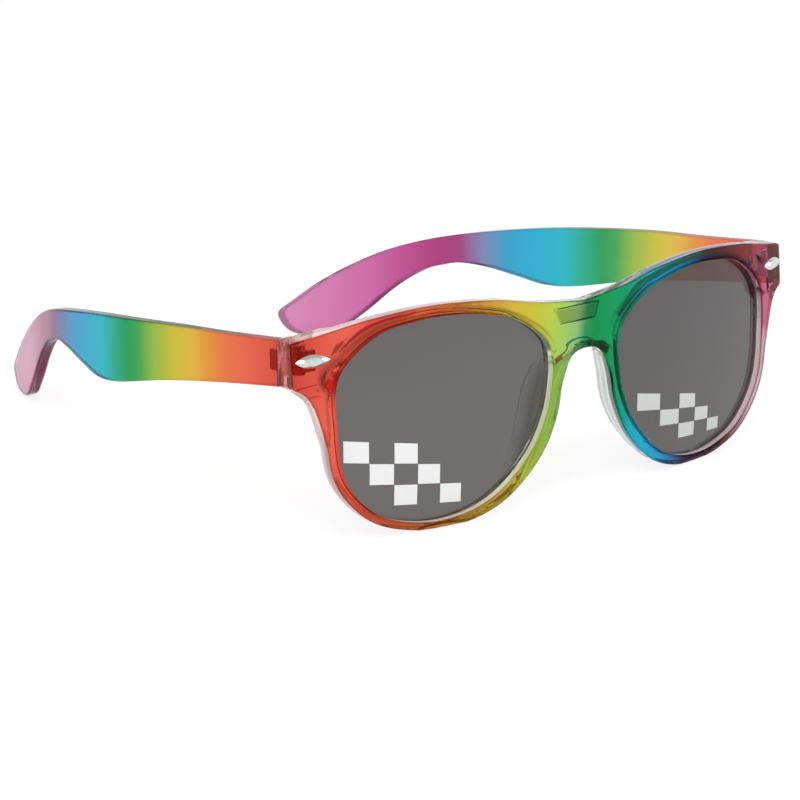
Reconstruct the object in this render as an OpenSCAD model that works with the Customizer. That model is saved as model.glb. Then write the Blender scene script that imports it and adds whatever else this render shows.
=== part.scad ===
// Clear plastic sunglasses with a square eye shape, metal barrel hinges and curled ear ends.
// They stand on the lower rims and the ear tips, in the plane z = 0, with +X at the wearer's left
// and the front facing -Y. The origin is the middle of the footprint.

/* [Front] */
// Overall width over the two end pieces
front_w = 144.6; // [141:0.2:150]
// Thickness of the front, from its face to its back
front_t = 4.4; // [4.2:0.1:5.2]
// Radius of the sphere that the front's face follows
front_radius = 260; // [240:5:400]
// Height of the foremost point of that sphere
front_apex_z = 19.4; // [16:0.2:23]
// Width of the rim above the lens
rim_top = 2.6; // [2.2:0.1:3.4]
// Width of the rim below the lens
rim_bottom = 1.8; // [1.6:0.1:3]
// Width of the rim beside the nose
rim_nose = 2.7; // [2.3:0.1:3.2]
// Extra width of the rim where it turns under the nose
rim_turn = 0.9; // [0:0.1:1.4]
// Width of the rim on the temple side
rim_side = 2.2; // [1.9:0.1:3.6]
// Fall of the top edge from the brow to the middle of the bridge
bridge_drop = 4.5; // [3:0.1:6]
// Height of the bridge at its middle
bridge_h = 10.4; // [8.5:0.1:12]
// Depth of the recess in the back of the bridge
bridge_recess = 1.6; // [0.8:0.1:2.2]
// Fall of the top edge from the brow to the end piece
end_drop = 4.1; // [3:0.1:5.5]
// Height of the end piece, and of the temple where it meets it
end_h = 9.9; // [9:0.1:11]

/* [Nose pads] */
// How far the pads reach behind the front
pad_depth = 5.6; // [3:0.1:6.5]
// Thickness of a pad at its middle
pad_t = 2.4; // [1.6:0.1:2.6]
// Angle by which the pads spread towards the face
pad_flare = 20; // [10:1:25]

/* [Lenses] */
// Width of the lens opening
lens_w = 53.7; // [50:0.1:56]
// Height of the lens opening
lens_h = 43.8; // [41:0.1:47]
// Distance between the two openings
lens_gap = 19.4; // [17:0.1:22]
// Thickness of the lens
lens_t = 1.5; // [1.2:0.1:1.6]
// How far the lens lies behind the face of the front
lens_inset = 1.7; // [1.4:0.1:2.3]
// How far the lens edge reaches into the rim
lens_edge = 0.8; // [0.5:0.05:0.9]
// Clearance between the lens and its groove, on each side
lens_clear = 0.05; // [0.03:0.01:0.1]
// Thickness of the white printed film on the lens
print_t = 0.1; // [0.05:0.01:0.2]

/* [Temples] */
// Distance from the butt face to the ear tip, along Y
temple_reach = 146.7; // [138:0.1:156]
// Thickness of the temple
temple_t = 3.2; // [2.8:0.1:3.6]
// Gap between the front and the temple's butt face
butt_gap = 0.1; // [0.05:0.01:0.2]
// Distance from the butt face to the deepest point of the temple's underside
step_at = 70; // [64:0.5:76]
// Height of the temple there
step_h = 14.5; // [13:0.1:17]
// Fall of the top edge up to there
step_drop = 7.5; // [6:0.1:9]
// Distance from the butt face to the top of the ear bend
bend_at = 95; // [91:0.5:100]
// Height of the temple at the ear bend
bend_h = 7.5; // [6.4:0.1:8.6]
// Fall of the top edge up to the ear bend
bend_drop = 12; // [10:0.1:13]
// Angle by which the straight part spreads outwards
temple_splay = 1.2; // [0:0.1:2]
// Distance from the butt face at which the inward bow begins
bow_at = 31; // [25:1:40]
// Radius of the inward bow
bow_radius = 190; // [180:5:260]
// Angle through which the bow turns
bow_angle = 22.5; // [17:0.5:24]

/* [Hinges] */
// Outer radius of the hinge barrel
barrel_r = 1.3; // [1.2:0.05:1.5]
// Height of one knuckle
knuckle_h = 1.7; // [1.4:0.1:1.9]
// Gap between two knuckles
knuckle_gap = 0.1; // [0.06:0.01:0.2]
// Radius of the hinge screw
screw_r = 0.7; // [0.5:0.05:0.8]
// Radial clearance of the hinge screw
screw_clear = 0.05; // [0.02:0.01:0.09]
// Radius of the screw's head
head_r = 1.15; // [1:0.05:1.3]
// Height of the screw's head
head_h = 0.7; // [0.5:0.1:0.9]
// Thickness of a hinge leaf
leaf_t = 0.8; // [0.6:0.1:1]
// Height of a hinge leaf
leaf_h = 4.4; // [3.6:0.1:5]
// Length of the front leaf
front_leaf_l = 3.2; // [2.6:0.1:5.4]
// Length of the temple leaf
temple_leaf_l = 3.2; // [2.6:0.1:8]
// Clearance around moving hinge pieces
hinge_clear = 0.12; // [0.1:0.01:0.2]

/* [Rivets] */
// Length of the oval rivet head
rivet_l = 7.8; // [6:0.1:8]
// Height of the oval rivet head
rivet_h = 2.8; // [2.2:0.1:3.4]
// How far the rivet head stands proud
rivet_proud = 1; // [0.6:0.05:1.2]
// Distance from the rivet head's end to the end of the front
rivet_edge = 0.4; // [0.2:0.1:1]
// How far the rivet's middle lies above the hinge's middle
rivet_rise = 1; // [0:0.1:1.4]
// Depth of the rivet's seat in the front
rivet_seat = 0.3; // [0.2:0.05:0.5]
// Radius of the rivet's peg
peg_r = 0.8; // [0.6:0.05:0.9]
// Length of the rivet's peg
peg_l = 1.6; // [1:0.1:1.8]
// Clearance of the rivet in its seat
rivet_clear = 0.05; // [0.03:0.01:0.1]

/* [Hidden] */
$fn = 96;

// Depth by which the lowest points are cut flat to stand on
foot_cut = 0.15;
// Anything that has to pass right through or cover everything
far = 400;

// Places that follow from the sizes above
half_w = front_w / 2;
lens_x = (lens_gap + lens_w) / 2;
lens_z = rim_bottom + lens_h / 2 - foot_cut;
brow_z = lens_z + lens_h / 2 + rim_top;
bridge_z = brow_z - bridge_drop;
end_z = brow_z - end_drop;
hinge_z = end_z - end_h / 2;
// y of the surface that lies the depth t inside the front's face, and of the face, at x, z
function depth_y(x, z, t) = front_radius - sqrt(pow(front_radius - t, 2) - x * x
    - pow(z - front_apex_z, 2));
function face_y(x, z) = depth_y(x, z, 0);
seam_y = depth_y(half_w, end_z, front_t);
butt_y = seam_y + butt_gap;
mid_y = (butt_y + temple_reach) / 2;

// Curve through the points of a list: the four-point blend, and the list run through it
function blend(a, b, c, d, t) = 0.5 * (2 * b + (c - a) * t + (2 * a - 5 * b + 4 * c - d) * t * t
    + (3 * b - a - 3 * c + d) * t * t * t);
function ring_curve(p, n) = [for (i = [0 : len(p) - 1], k = [0 : n - 1])
    blend(p[(i + len(p) - 1) % len(p)], p[i], p[(i + 1) % len(p)], p[(i + 2) % len(p)], k / n)];
function open_curve(p, n) = concat([for (i = [0 : len(p) - 2], k = [0 : n - 1])
    blend(p[max(i - 1, 0)], p[i], p[i + 1], p[min(i + 2, len(p) - 1)], k / n)], [p[len(p) - 1]]);
function unit(v) = v / norm(v);
// Outward normal of a counter-clockwise ring at its point i
function ring_normal(p, i) = let (d = unit(p[(i + 1) % len(p)] - p[(i + len(p) - 1) % len(p)]))
    [d[1], -d[0]];
function flip(p) = [for (i = [len(p) - 1 : -1 : 0]) p[i]];

// Eye shape, as shares of the opening's width and height from its middle, counter-clockwise
eye_shape = [[0.495, 0.02], [0.48, 0.28], [0.32, 0.448], [0.13, 0.496], [-0.03, 0.5],
             [-0.18, 0.475], [-0.34, 0.417], [-0.485, 0.265], [-0.485, 0.03], [-0.425, -0.172],
             [-0.322, -0.329], [-0.189, -0.445], [-0.028, -0.5], [0.147, -0.494], [0.33, -0.416],
             [0.462, -0.229]];
eye_steps = 6;
eye = ring_curve([for (p = eye_shape) [lens_x + p[0] * lens_w, lens_z + p[1] * lens_h]], eye_steps);
// The eye shape grown by d all round
function eye_grown(d) = [for (i = [0 : len(eye) - 1]) eye[i] + d * ring_normal(eye, i)];
// Width of the rim in the direction n
function rim_at(n) = pow(max(n[0], 0), 2) * rim_side + pow(min(n[0], 0), 2) * rim_nose
    + pow(max(n[1], 0), 2) * rim_top + pow(min(n[1], 0), 2) * rim_bottom
    + 2 * min(n[0], 0) * min(n[1], 0) * rim_turn;
rim = [for (i = [0 : len(eye) - 1]) let (n = ring_normal(eye, i)) eye[i] + rim_at(n) * n];

// Top edge from the middle of the bridge to the end piece
top_edge = open_curve([
    [0, bridge_z],
    [lens_x - 0.45 * lens_w, bridge_z + 0.3 * bridge_drop],
    [lens_x - 0.23 * lens_w, bridge_z + 0.78 * bridge_drop],
    [lens_x + 0.05 * lens_w, brow_z],
    [lens_x + 0.33 * lens_w, end_z + 0.74 * end_drop],
    [half_w - 0.64 * end_h, end_z + 0.25 * end_drop],
    [half_w, end_z]], 6);
// Underside of the bridge, from the nose side of the rim to the middle
arch_z = bridge_z - bridge_h;
arch_edge = open_curve([
    [0.375 * lens_gap, arch_z - 0.37 * lens_gap],
    [0.3 * lens_gap, arch_z - 0.186 * lens_gap],
    [0.255 * lens_gap, arch_z - 0.103 * lens_gap],
    [0.19 * lens_gap, arch_z - 0.041 * lens_gap],
    [0.1 * lens_gap, arch_z - 0.008 * lens_gap],
    [0, arch_z]], 4);
// Underside of the end piece, from its corner down to the rim, as shares of its sweep
end_low = end_z - end_h;
sweep = [lens_x + lens_w / 2 + rim_side - half_w, -0.3 * lens_h];
end_edge = open_curve([for (p = [[0, 0], [0.19, 0.025], [0.4, 0.095], [0.6, 0.24], [0.76, 0.46],
    [0.9, 0.7], [1.05, 1]]) [half_w + p[0] * sweep[0], end_low + p[1] * sweep[1]]], 4);

module half_outline() {
    polygon(concat(top_edge, end_edge, [[lens_x, lens_z]], arch_edge));
    polygon(rim);
}

// Turns a drawing in x, z into a solid along y
module along_y(from, to) {
    translate([0, to, 0]) rotate([90, 0, 0]) linear_extrude(to - from) children();
}

// Turns a drawing into a solid that passes right through the curved front
module through_front() {
    along_y(-1, seam_y + front_t + pad_depth) children();
}

// Shell between two depths behind the front's face
module face_shell(from, to) {
    translate([0, front_radius, front_apex_z]) difference() {
        sphere(r = front_radius - from, $fn = 360);
        sphere(r = front_radius - to, $fn = 360);
    }
}

module both_sides() {
    children();
    mirror([1, 0, 0]) children();
}

module place() {
    translate([0, -mid_y, 0]) children();
}

// Block behind the end piece: it carries the hinge leaf and meets the temple
butt_x = half_w - temple_t;
pin_x = butt_x - barrel_r - hinge_clear;
block_y = seam_y - 0.9;
block_x = pin_x - front_leaf_l - 1.4;
// Depth of the block inside the shell of the front
block_root = front_t - 1;
barrel_h = 3 * knuckle_h + 2 * knuckle_gap;
module end_block() {
    translate([0, 0, end_low]) linear_extrude(end_h) polygon([
        [block_x - block_root, block_y - block_root], [block_x, block_y], [butt_x, block_y],
        [butt_x, seam_y], [half_w, seam_y], [half_w, block_y - block_root]]);
}

// Crescent on the nose side of the rim: the ring's points between two places of the eye shape
pad_first = round(7.7 * eye_steps);
pad_last = round(10.2 * eye_steps);
pad_points = [for (i = [pad_first : pad_last]) i];
function pad_share(i) = 0.15 + 0.85 * sin(180 * (i - pad_first) / (pad_last - pad_first));
module pad_outline() {
    polygon(concat([for (i = pad_points) rim[i]],
        flip([for (i = pad_points) rim[i] - pad_t * pad_share(i) * ring_normal(rim, i)])));
}
pad_hub = rim[round((pad_first + pad_last) / 2)];
pad_hub_y = face_y(pad_hub[0], pad_hub[1]) + front_t;
// Depth of a pad's root inside the back of the front
pad_root = 1.2;
module nose_pad() {
    translate([pad_hub[0], pad_hub_y - pad_root, 0]) rotate([0, 0, -pad_flare])
        translate([-pad_hub[0], 0, 0]) along_y(0, pad_depth + pad_root) pad_outline();
}

module hinge_pocket() {
    translate([pin_x, seam_y, hinge_z - barrel_h / 2 - hinge_clear])
        cylinder(r = barrel_r + hinge_clear, h = barrel_h + head_h + 2 * hinge_clear);
    translate([pin_x - front_leaf_l, block_y - leaf_t, hinge_z - leaf_h / 2])
        cube([front_leaf_l, far, leaf_h]);
}

// Place of the rivet: its middle on the face, turned square to the face
rivet_x = half_w - rivet_edge - rivet_l / 2;
rivet_z = hinge_z + rivet_rise;
module at_rivet() {
    translate([rivet_x, face_y(rivet_x, rivet_z), rivet_z])
        rotate([0, 0, asin(rivet_x / front_radius)])
        rotate([-asin((rivet_z - front_apex_z) / front_radius), 0, 0]) rotate([90, 0, 0])
        children();
}
// Pointed oval of the rivet's head, grown by d
module oval(d) {
    l = rivet_l / 2;
    h = rivet_h / 2;
    r = (l * l + h * h) / (2 * h);
    intersection() {
        translate([0, r - h, 0]) circle(r = r + d);
        translate([0, h - r, 0]) circle(r = r + d);
    }
}

module bridge_pocket() {
    top = bridge_z - 0.1 * bridge_h;
    low = bridge_z - 0.5 * bridge_h;
    y = face_y(0, bridge_z) + front_t - bridge_recess;
    along_y(y, y + front_t) polygon([[-0.33 * lens_gap, top], [-0.24 * lens_gap, low],
                                     [0.24 * lens_gap, low], [0.33 * lens_gap, top]]);
}

module front_frame() {
    color("yellowgreen") place() difference() {
        union() {
            intersection() {
                through_front() both_sides() half_outline();
                face_shell(0, front_t);
            }
            both_sides() end_block();
            both_sides() nose_pad();
        }
        both_sides() through_front() polygon(eye);
        both_sides() intersection() {
            through_front() polygon(eye_grown(lens_edge + lens_clear));
            face_shell(lens_inset - lens_clear, lens_inset + lens_t + lens_clear);
        }
        both_sides() hinge_pocket();
        both_sides() at_rivet() {
            translate([0, 0, -rivet_seat]) linear_extrude(3) oval(rivet_clear);
            translate([0, 0, -rivet_seat - peg_l - rivet_clear])
                cylinder(r = peg_r + rivet_clear, h = 3);
        }
        bridge_pocket();
        translate([-far / 2, -far / 2, -far]) cube([far, far, far]);
    }
}

module lens() {
    color([0.35, 0.34, 0.34, 0.85]) place() intersection() {
        through_front() polygon(eye_grown(lens_edge));
        face_shell(lens_inset, lens_inset + lens_t);
    }
}
module left_lens() {
    lens();
}
module right_lens() {
    mirror([1, 0, 0]) lens();
}

// Half of the gap between two squares of the print
print_gap = 0.1;
// White squares, every second column of three rows, each row one column on: column, row
squares = [for (r = [0 : 2], c = [0, 2]) [r + c, r]];
// Left edge of column c from the first, for a first width w that shrinks by the factor k
function column_x(w, k, c) = c == 0 ? 0 : column_x(w, k, c - 1) + w * pow(k, c - 1);
// Corner of the grid: column c, row r. Columns narrow by the factors k, rows fall by the slope
function grid(w, h, k, slope, c, r) = let (x = column_x(w, k[0], c))
    [x, -slope * x - r * h * pow(k[1], c)];
module squares_print(at, w, h, k, slope) {
    color("white") place() intersection() {
        through_front() translate(at) for (s = squares) polygon([
            grid(w, h, k, slope, s[0], s[1]) + print_gap * [1, -1],
            grid(w, h, k, slope, s[0], s[1] + 1) + print_gap * [1, 1],
            grid(w, h, k, slope, s[0] + 1, s[1] + 1) + print_gap * [-1, 1],
            grid(w, h, k, slope, s[0] + 1, s[1]) + print_gap * [-1, -1]]);
        face_shell(lens_inset - print_t, lens_inset);
    }
}
module right_lens_print() {
    squares_print([-lens_x - 0.457 * lens_w, lens_z - 0.035 * lens_h], 5.9, 4.85, [0.975, 0.975], 0.175);
}
module left_lens_print() {
    squares_print([lens_x - 0.361 * lens_w, lens_z - 0.093 * lens_h], 8, 4.15, [0.86, 0.925], 0.2);
}

// Side view of the temple, from the top of the butt face round the ear tip and back: [y, z]
bend_z = end_z - bend_drop;
ear_l = temple_reach - bend_at;
function ear(u, v) = [bend_at + u * ear_l, v * bend_z];
temple_side = open_curve([
    [0, end_z], [0.29 * step_at, end_z - 0.27 * step_drop],
    [0.57 * step_at, end_z - 0.5 * step_drop], [step_at, end_z - step_drop],
    [bend_at, bend_z],
    ear(0.29, 0.87), ear(0.52, 0.71), ear(0.75, 0.49), ear(0.92, 0.28), ear(0.998, 0.17),
    ear(0.98, 0.075), ear(0.93, 0.012), ear(0.86, -0.005), ear(0.77, 0.01), ear(0.69, 0.06),
    ear(0.625, 0.14), ear(0.52, 0.283), ear(0.415, 0.44), ear(0.31, 0.572), ear(0.2, 0.675),
    ear(0.1, 0.73),
    [bend_at, bend_z - bend_h],
    [bend_at - 0.3 * (bend_at - step_at), bend_z - bend_h - 0.2],
    [bend_at - 0.65 * (bend_at - step_at), end_z - step_drop - step_h + 1.1],
    [step_at, end_z - step_drop - step_h],
    [0.86 * step_at, end_z - step_drop - step_h + 1],
    [0.57 * step_at, end_low - 0.535 * (step_h + step_drop - end_h)],
    [0.29 * step_at, end_low - 0.25 * (step_h + step_drop - end_h)],
    [0, end_low]], 6);

// Plan of the temple: its outer line walks back in equal steps, straight, bowed, straight
walk_step = 5;
walk_n = ceil(temple_reach / walk_step) + 3;
function heading(s) = temple_splay
    - min(max(s - bow_at, 0) / bow_radius * 180 / PI, bow_angle);
function walk(i) = i == 0 ? [0, 0] : walk(i - 1)
    + walk_step * [sin(heading((i - 0.5) * walk_step)), cos(heading((i - 0.5) * walk_step))];
outer_line = [for (i = [0 : walk_n]) walk(i)];
inner_line = [for (i = [0 : walk_n]) let (h = heading(i * walk_step))
    i == 0 ? [-temple_t, 0] : outer_line[i] - temple_t * [cos(h), -sin(h)]];

module temple() {
    color("darkorange") place() difference() {
        intersection() {
            translate([half_w, butt_y, -far / 2]) linear_extrude(far)
                polygon(concat(outer_line, flip(inner_line)));
            translate([-far / 2, butt_y, 0]) rotate([90, 0, 90]) linear_extrude(far)
                polygon(temple_side);
        }
        translate([butt_x - 1, seam_y + barrel_r, hinge_z - leaf_h / 2])
            cube([leaf_t + 1, temple_leaf_l, leaf_h]);
        translate([butt_x - 1, seam_y - 1, hinge_z - knuckle_h / 2 - hinge_clear])
            cube([leaf_t + 1, barrel_r + 1.5, knuckle_h + 2 * hinge_clear]);
        translate([-far / 2, -far / 2, -far]) cube([far, 2 * far, far]);
    }
}
module left_temple() {
    temple();
}
module right_temple() {
    mirror([1, 0, 0]) temple();
}

// Knuckle k of three, counted from below, with its bore
module knuckle(k) {
    translate([pin_x, seam_y, hinge_z - barrel_h / 2 + k * (knuckle_h + knuckle_gap)])
        cylinder(r = barrel_r, h = knuckle_h);
}
module pin_bore() {
    translate([pin_x, seam_y, hinge_z - barrel_h])
        cylinder(r = screw_r + screw_clear, h = 2 * barrel_h);
}

module front_leaf() {
    color("silver") place() difference() {
        union() {
            translate([pin_x - front_leaf_l, block_y - leaf_t, hinge_z - leaf_h / 2])
                cube([front_leaf_l, leaf_t, leaf_h]);
            for (k = [0, 2]) knuckle(k);
            for (k = [0, 2]) intersection() {
                translate([pin_x - barrel_r, block_y - leaf_t,
                        hinge_z - barrel_h / 2 + k * (knuckle_h + knuckle_gap)])
                    cube([barrel_r, seam_y - block_y + leaf_t, knuckle_h]);
                translate([pin_x - front_leaf_l, block_y - leaf_t, hinge_z - leaf_h / 2])
                    cube([front_leaf_l, far, leaf_h]);
            }
        }
        translate([pin_x, seam_y, hinge_z - knuckle_h / 2 - knuckle_gap])
            cylinder(r = barrel_r + hinge_clear, h = knuckle_h + 2 * knuckle_gap);
        pin_bore();
    }
}
module left_front_hinge_leaf() {
    front_leaf();
}
module right_front_hinge_leaf() {
    mirror([1, 0, 0]) front_leaf();
}

module temple_leaf() {
    color("silver") place() difference() {
        union() {
            knuckle(1);
            translate([pin_x, seam_y, hinge_z - knuckle_h / 2])
                cube([butt_x + leaf_t - pin_x, barrel_r + 0.5, knuckle_h]);
            translate([butt_x, seam_y + barrel_r, hinge_z - leaf_h / 2])
                cube([leaf_t, temple_leaf_l, leaf_h]);
        }
        pin_bore();
    }
}
module left_temple_hinge_leaf() {
    temple_leaf();
}
module right_temple_hinge_leaf() {
    mirror([1, 0, 0]) temple_leaf();
}

module hinge_screw() {
    top = hinge_z + barrel_h / 2;
    color("gainsboro") place() difference() {
        translate([pin_x, seam_y, 0]) {
            translate([0, 0, top - barrel_h]) cylinder(r = screw_r, h = barrel_h + head_h / 2);
            translate([0, 0, top]) cylinder(r = head_r, h = head_h);
        }
        translate([pin_x - head_r - 1, seam_y - 0.15, top + head_h - 0.3])
            cube([2 * head_r + 2, 0.3, 1]);
    }
}
module left_hinge_screw() {
    hinge_screw();
}
module right_hinge_screw() {
    mirror([1, 0, 0]) hinge_screw();
}

module rivet() {
    l = rivet_l / 2;
    dome = (l * l + rivet_proud * rivet_proud) / (2 * rivet_proud);
    color("gainsboro") place() at_rivet() {
        intersection() {
            translate([0, 0, -rivet_seat]) linear_extrude(rivet_seat + rivet_proud) oval(0);
            translate([0, 0, rivet_proud - dome]) sphere(r = dome + 0.001, $fn = 180);
        }
        translate([0, 0, -rivet_seat - peg_l]) cylinder(r = peg_r, h = peg_l + rivet_seat / 2);
    }
}
module left_rivet() {
    rivet();
}
module right_rivet() {
    mirror([1, 0, 0]) rivet();
}

front_frame();
left_lens();
right_lens();
left_lens_print();
right_lens_print();
left_temple();
right_temple();
left_front_hinge_leaf();
right_front_hinge_leaf();
left_temple_hinge_leaf();
right_temple_hinge_leaf();
left_hinge_screw();
right_hinge_screw();
left_rivet();
right_rivet();
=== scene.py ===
import math
import bmesh
import bpy
import numpy as np
from mathutils import Matrix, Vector
from mathutils.geometry import delaunay_2d_cdt


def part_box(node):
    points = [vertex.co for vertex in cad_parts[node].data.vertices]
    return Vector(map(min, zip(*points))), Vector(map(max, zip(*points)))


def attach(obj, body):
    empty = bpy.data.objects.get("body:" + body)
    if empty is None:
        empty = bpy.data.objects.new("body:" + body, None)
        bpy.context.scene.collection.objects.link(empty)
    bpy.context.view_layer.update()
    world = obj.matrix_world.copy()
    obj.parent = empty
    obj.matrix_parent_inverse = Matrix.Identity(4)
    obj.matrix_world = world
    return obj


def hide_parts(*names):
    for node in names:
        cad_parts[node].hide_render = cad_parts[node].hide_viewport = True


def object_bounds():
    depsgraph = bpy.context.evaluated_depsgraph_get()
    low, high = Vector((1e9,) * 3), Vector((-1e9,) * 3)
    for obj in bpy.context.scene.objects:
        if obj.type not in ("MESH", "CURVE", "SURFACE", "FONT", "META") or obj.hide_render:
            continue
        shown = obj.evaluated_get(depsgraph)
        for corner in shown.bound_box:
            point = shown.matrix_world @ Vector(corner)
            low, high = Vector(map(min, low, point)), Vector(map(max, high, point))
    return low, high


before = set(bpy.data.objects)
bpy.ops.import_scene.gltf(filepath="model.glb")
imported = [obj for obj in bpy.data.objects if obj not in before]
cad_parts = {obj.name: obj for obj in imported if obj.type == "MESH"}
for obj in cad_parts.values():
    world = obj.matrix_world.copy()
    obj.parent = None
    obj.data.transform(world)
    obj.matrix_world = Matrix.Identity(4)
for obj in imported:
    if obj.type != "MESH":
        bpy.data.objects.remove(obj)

# Clear plastic sunglasses in rainbow bands, dark lenses with white squares, metal hinges and rivets.
# Lengths here are millimetres, with y counted from the foremost point of the front's face.
cad_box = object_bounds()
MM = 0.001
SIDES = {"left": 1, "right": -1}

# Front
HALF_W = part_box("front_frame")[1][0] / MM
FRONT_T = 4.4
FACE_RADIUS = 260.0
APEX_Z = 19.4  # height at which the face is foremost
RIM_TOP = 2.6
RIM_LOW = 1.8
RIM_NOSE = 2.7
RIM_TURN = 0.9  # extra width where the nose side turns into the low side
RIM_SIDE = 2.2
LENS_W = 53.7
LENS_H = 43.8
LENS_GAP = 19.4
BRIDGE_DROP = 4.5  # from the brow to the bridge's top
BRIDGE_H = 10.4
BRIDGE_RECESS = 0.9
BRIDGE_LIP = 0.5
END_DROP = 4.1  # from the brow to the end piece's top
END_H = 9.9
FOOT_CUT = 0.15  # cut off the lowest places, so that they stand flat
CORNER = 0.5

# Rounding of the front's edges. The back's is wider over the nose and small at the end pieces.
FACE_EDGE = 0.45
EYE_EDGE = 0.3
EYE_BEVEL = 1.0
BACK_REACH = 1.3
BACK_DROP = 2.4
ARCH_ROUNDER = 0.9
END_EDGE = 0.2

# Lens and its groove
LENS_T = 1.5
LENS_INSET = 1.7
LENS_REACH = 0.12
LENS_CLEAR = 0.05
GROOVE_LIP = 0.05

# Nose pads
PAD_DEPTH = 5.0
PAD_SPREAD = 0.4
PAD_FALL = 0.16
PAD_FOOT = 6.0
PAD_START = 1.5
PAD_FULLNESS = 0.7

# Temples. At STEP_AT and BEND_AT from the butt, they have these heights, and their top lies these
# drops below the end piece's. Angles are in degrees.
REACH = 146.7
TEMPLE_T = 3.2
BUTT_GAP = 0.1
STEP_AT = 70.0
STEP_H = 14.5
STEP_DROP = 7.5
BEND_AT = 95.0
BEND_H = 7.5
BEND_DROP = 12.0
SPLAY = 1.2
BOW_AT = 31.0
BOW_RADIUS = 190.0
BOW_ANGLE = 22.5
TEMPLE_EDGE = 0.6

# Hinge, and the block behind the end piece that holds it
BARREL_R = 1.3
KNUCKLE_H = 1.7
KNUCKLE_GAP = 0.1
HINGE_CLEAR = 0.12
HEAD_H = 0.7
LEAF_T = 0.8
LEAF_H = 4.4
FRONT_LEAF = 3.2
TEMPLE_LEAF = 3.2
SLOT_SPARE = 0.5
BLOCK_STEP = 0.9
BLOCK_MARGIN = 1.4
BLOCK_ROOT = FRONT_T - 1

# Rivets
RIVET_L = 7.8
RIVET_H = 2.8
RIVET_PROUD = 1.0
RIVET_SEAT = 0.3
RIVET_EDGE = 0.4
RIVET_RISE = 1.0

# White squares: their film, the gap as a share of a square, and for each lens the first square's corner
# as shares of the lens from its middle, its width and height, what both are multiplied by from column
# to column, and the slope of the rows
PRINT_T = 0.1
PRINT_SEAT = 0.03
SQUARE_GAP = 0.034
SQUARES = {
    "left": ((-0.361, -0.093), (8.0, 4.15), (0.86, 0.925), 0.2),
    "right": ((-0.457, -0.035), (5.9, 4.85), (0.975, 0.975), 0.175),
}

# Places that follow from the sizes above
LENS_X = (LENS_GAP + LENS_W) / 2
LENS_Z = RIM_LOW + LENS_H / 2 - FOOT_CUT
BROW_Z = LENS_Z + LENS_H / 2 + RIM_TOP
BRIDGE_Z = BROW_Z - BRIDGE_DROP
ARCH_Z = BRIDGE_Z - BRIDGE_H
END_Z = BROW_Z - END_DROP
END_LOW = END_Z - END_H
HINGE_Z = END_Z - END_H / 2
BUTT_X = HALF_W - TEMPLE_T
PIN_X = BUTT_X - BARREL_R - HINGE_CLEAR


def face_y(x, z, depth=0.0):
    """The surface that lies this depth inside the sphere of the front's face."""
    return FACE_RADIUS - np.sqrt((FACE_RADIUS - depth) ** 2 - x**2 - (z - APEX_Z) ** 2)


SEAM_Y = float(face_y(HALF_W, END_Z, FRONT_T))
BUTT_Y = SEAM_Y + BUTT_GAP
MID_Y = (BUTT_Y + REACH) / 2
BLOCK_Y = SEAM_Y - BLOCK_STEP
BLOCK_X = PIN_X - FRONT_LEAF - BLOCK_MARGIN

# Steps between points, nets of points over a surface, and how far the nets stay off its edges
ROW_STEP = 0.55
FRONT_NET = (0.6, 0.25)
LENS_NET = (1.2, 0.4)
TEMPLE_STEP = 0.7
TEMPLE_NET = (1.3, 1.0)
PLAN_STEP = 0.5
SEAM_STEP = 0.3
LIP = 0.05
LIP_STEP = 0.4
MARK_STEP = 0.25
MARK_ROWS = (-0.4, -0.2, 0, 0.2, 0.4)
RIM_ROWS = (0.7, 1.1, 1.5)
EDGE_SHARE = 0.03
SAME_POINT = 1e-7
SMALL = 1e-6
TINY = 1e-12

# How near a surface's own points may come to an edge, and to each other
FACE_NEAR = (0.015, 0.03)
BACK_NEAR = (0.01, 0.02)
TEMPLE_NEAR = (0.02, 0.03)


# Curves
def blend(a, b, c, d, t):
    """Point between b and c on the smooth curve through four points."""
    second = (2 * a - 5 * b + 4 * c - d) * t**2
    return 0.5 * (2 * b + (c - a) * t + second + (3 * b - a - 3 * c + d) * t**3)


def ring_curve(points, steps):
    """Smooth closed line through points."""
    p = np.array(points, float)
    n = len(p)
    places = [(i, k / steps) for i in range(n) for k in range(steps)]
    return np.array([blend(p[i - 1], p[i], p[(i + 1) % n], p[(i + 2) % n], t) for i, t in places])


def open_curve(points, steps):
    """Smooth line from the first point to the last one."""
    p = np.array(points, float)
    last = len(p) - 1
    places = [(i, k / steps) for i in range(last) for k in range(steps)]
    rows = [blend(p[max(i - 1, 0)], p[i], p[i + 1], p[min(i + 2, last)], t) for i, t in places]
    return np.array(rows + [p[last]])


def spaced(points, step, closed=False):
    """The same line with its points an even step apart."""
    p = np.vstack([points, points[:1]]) if closed else np.array(points, float)
    run = np.concatenate([[0], np.cumsum(np.linalg.norm(np.diff(p, axis=0), axis=1))])
    at = np.linspace(0, run[-1], max(3, round(run[-1] / step)) + 1)
    line = np.stack([np.interp(at, run, p[:, k]) for k in (0, 1)], 1)
    return line[:-1] if closed else line


def ring_normals(ring):
    """Outward normals of a counter-clockwise ring."""
    along = np.roll(ring, -1, 0) - np.roll(ring, 1, 0)
    along /= np.linalg.norm(along, axis=1)[:, None]
    return np.stack([along[:, 1], -along[:, 0]], 1)


def distance(points, line, closed=True, group=64):
    """Distance of each point from a line, whose stretches are measured in groups."""
    start = line if closed else line[:-1]
    step = (np.roll(line, -1, 0) if closed else line[1:]) - start
    best = np.full(len(points), np.inf)
    for k in range(0, len(start), group):
        u = start[None, k : k + group]
        w = step[None, k : k + group]
        off = points[:, None] - u
        t = np.clip((off * w).sum(2) / np.maximum((w * w).sum(2), TINY), 0, 1)
        best = np.minimum(best, np.linalg.norm(off - t[:, :, None] * w, axis=2).min(1))
    return best


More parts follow.
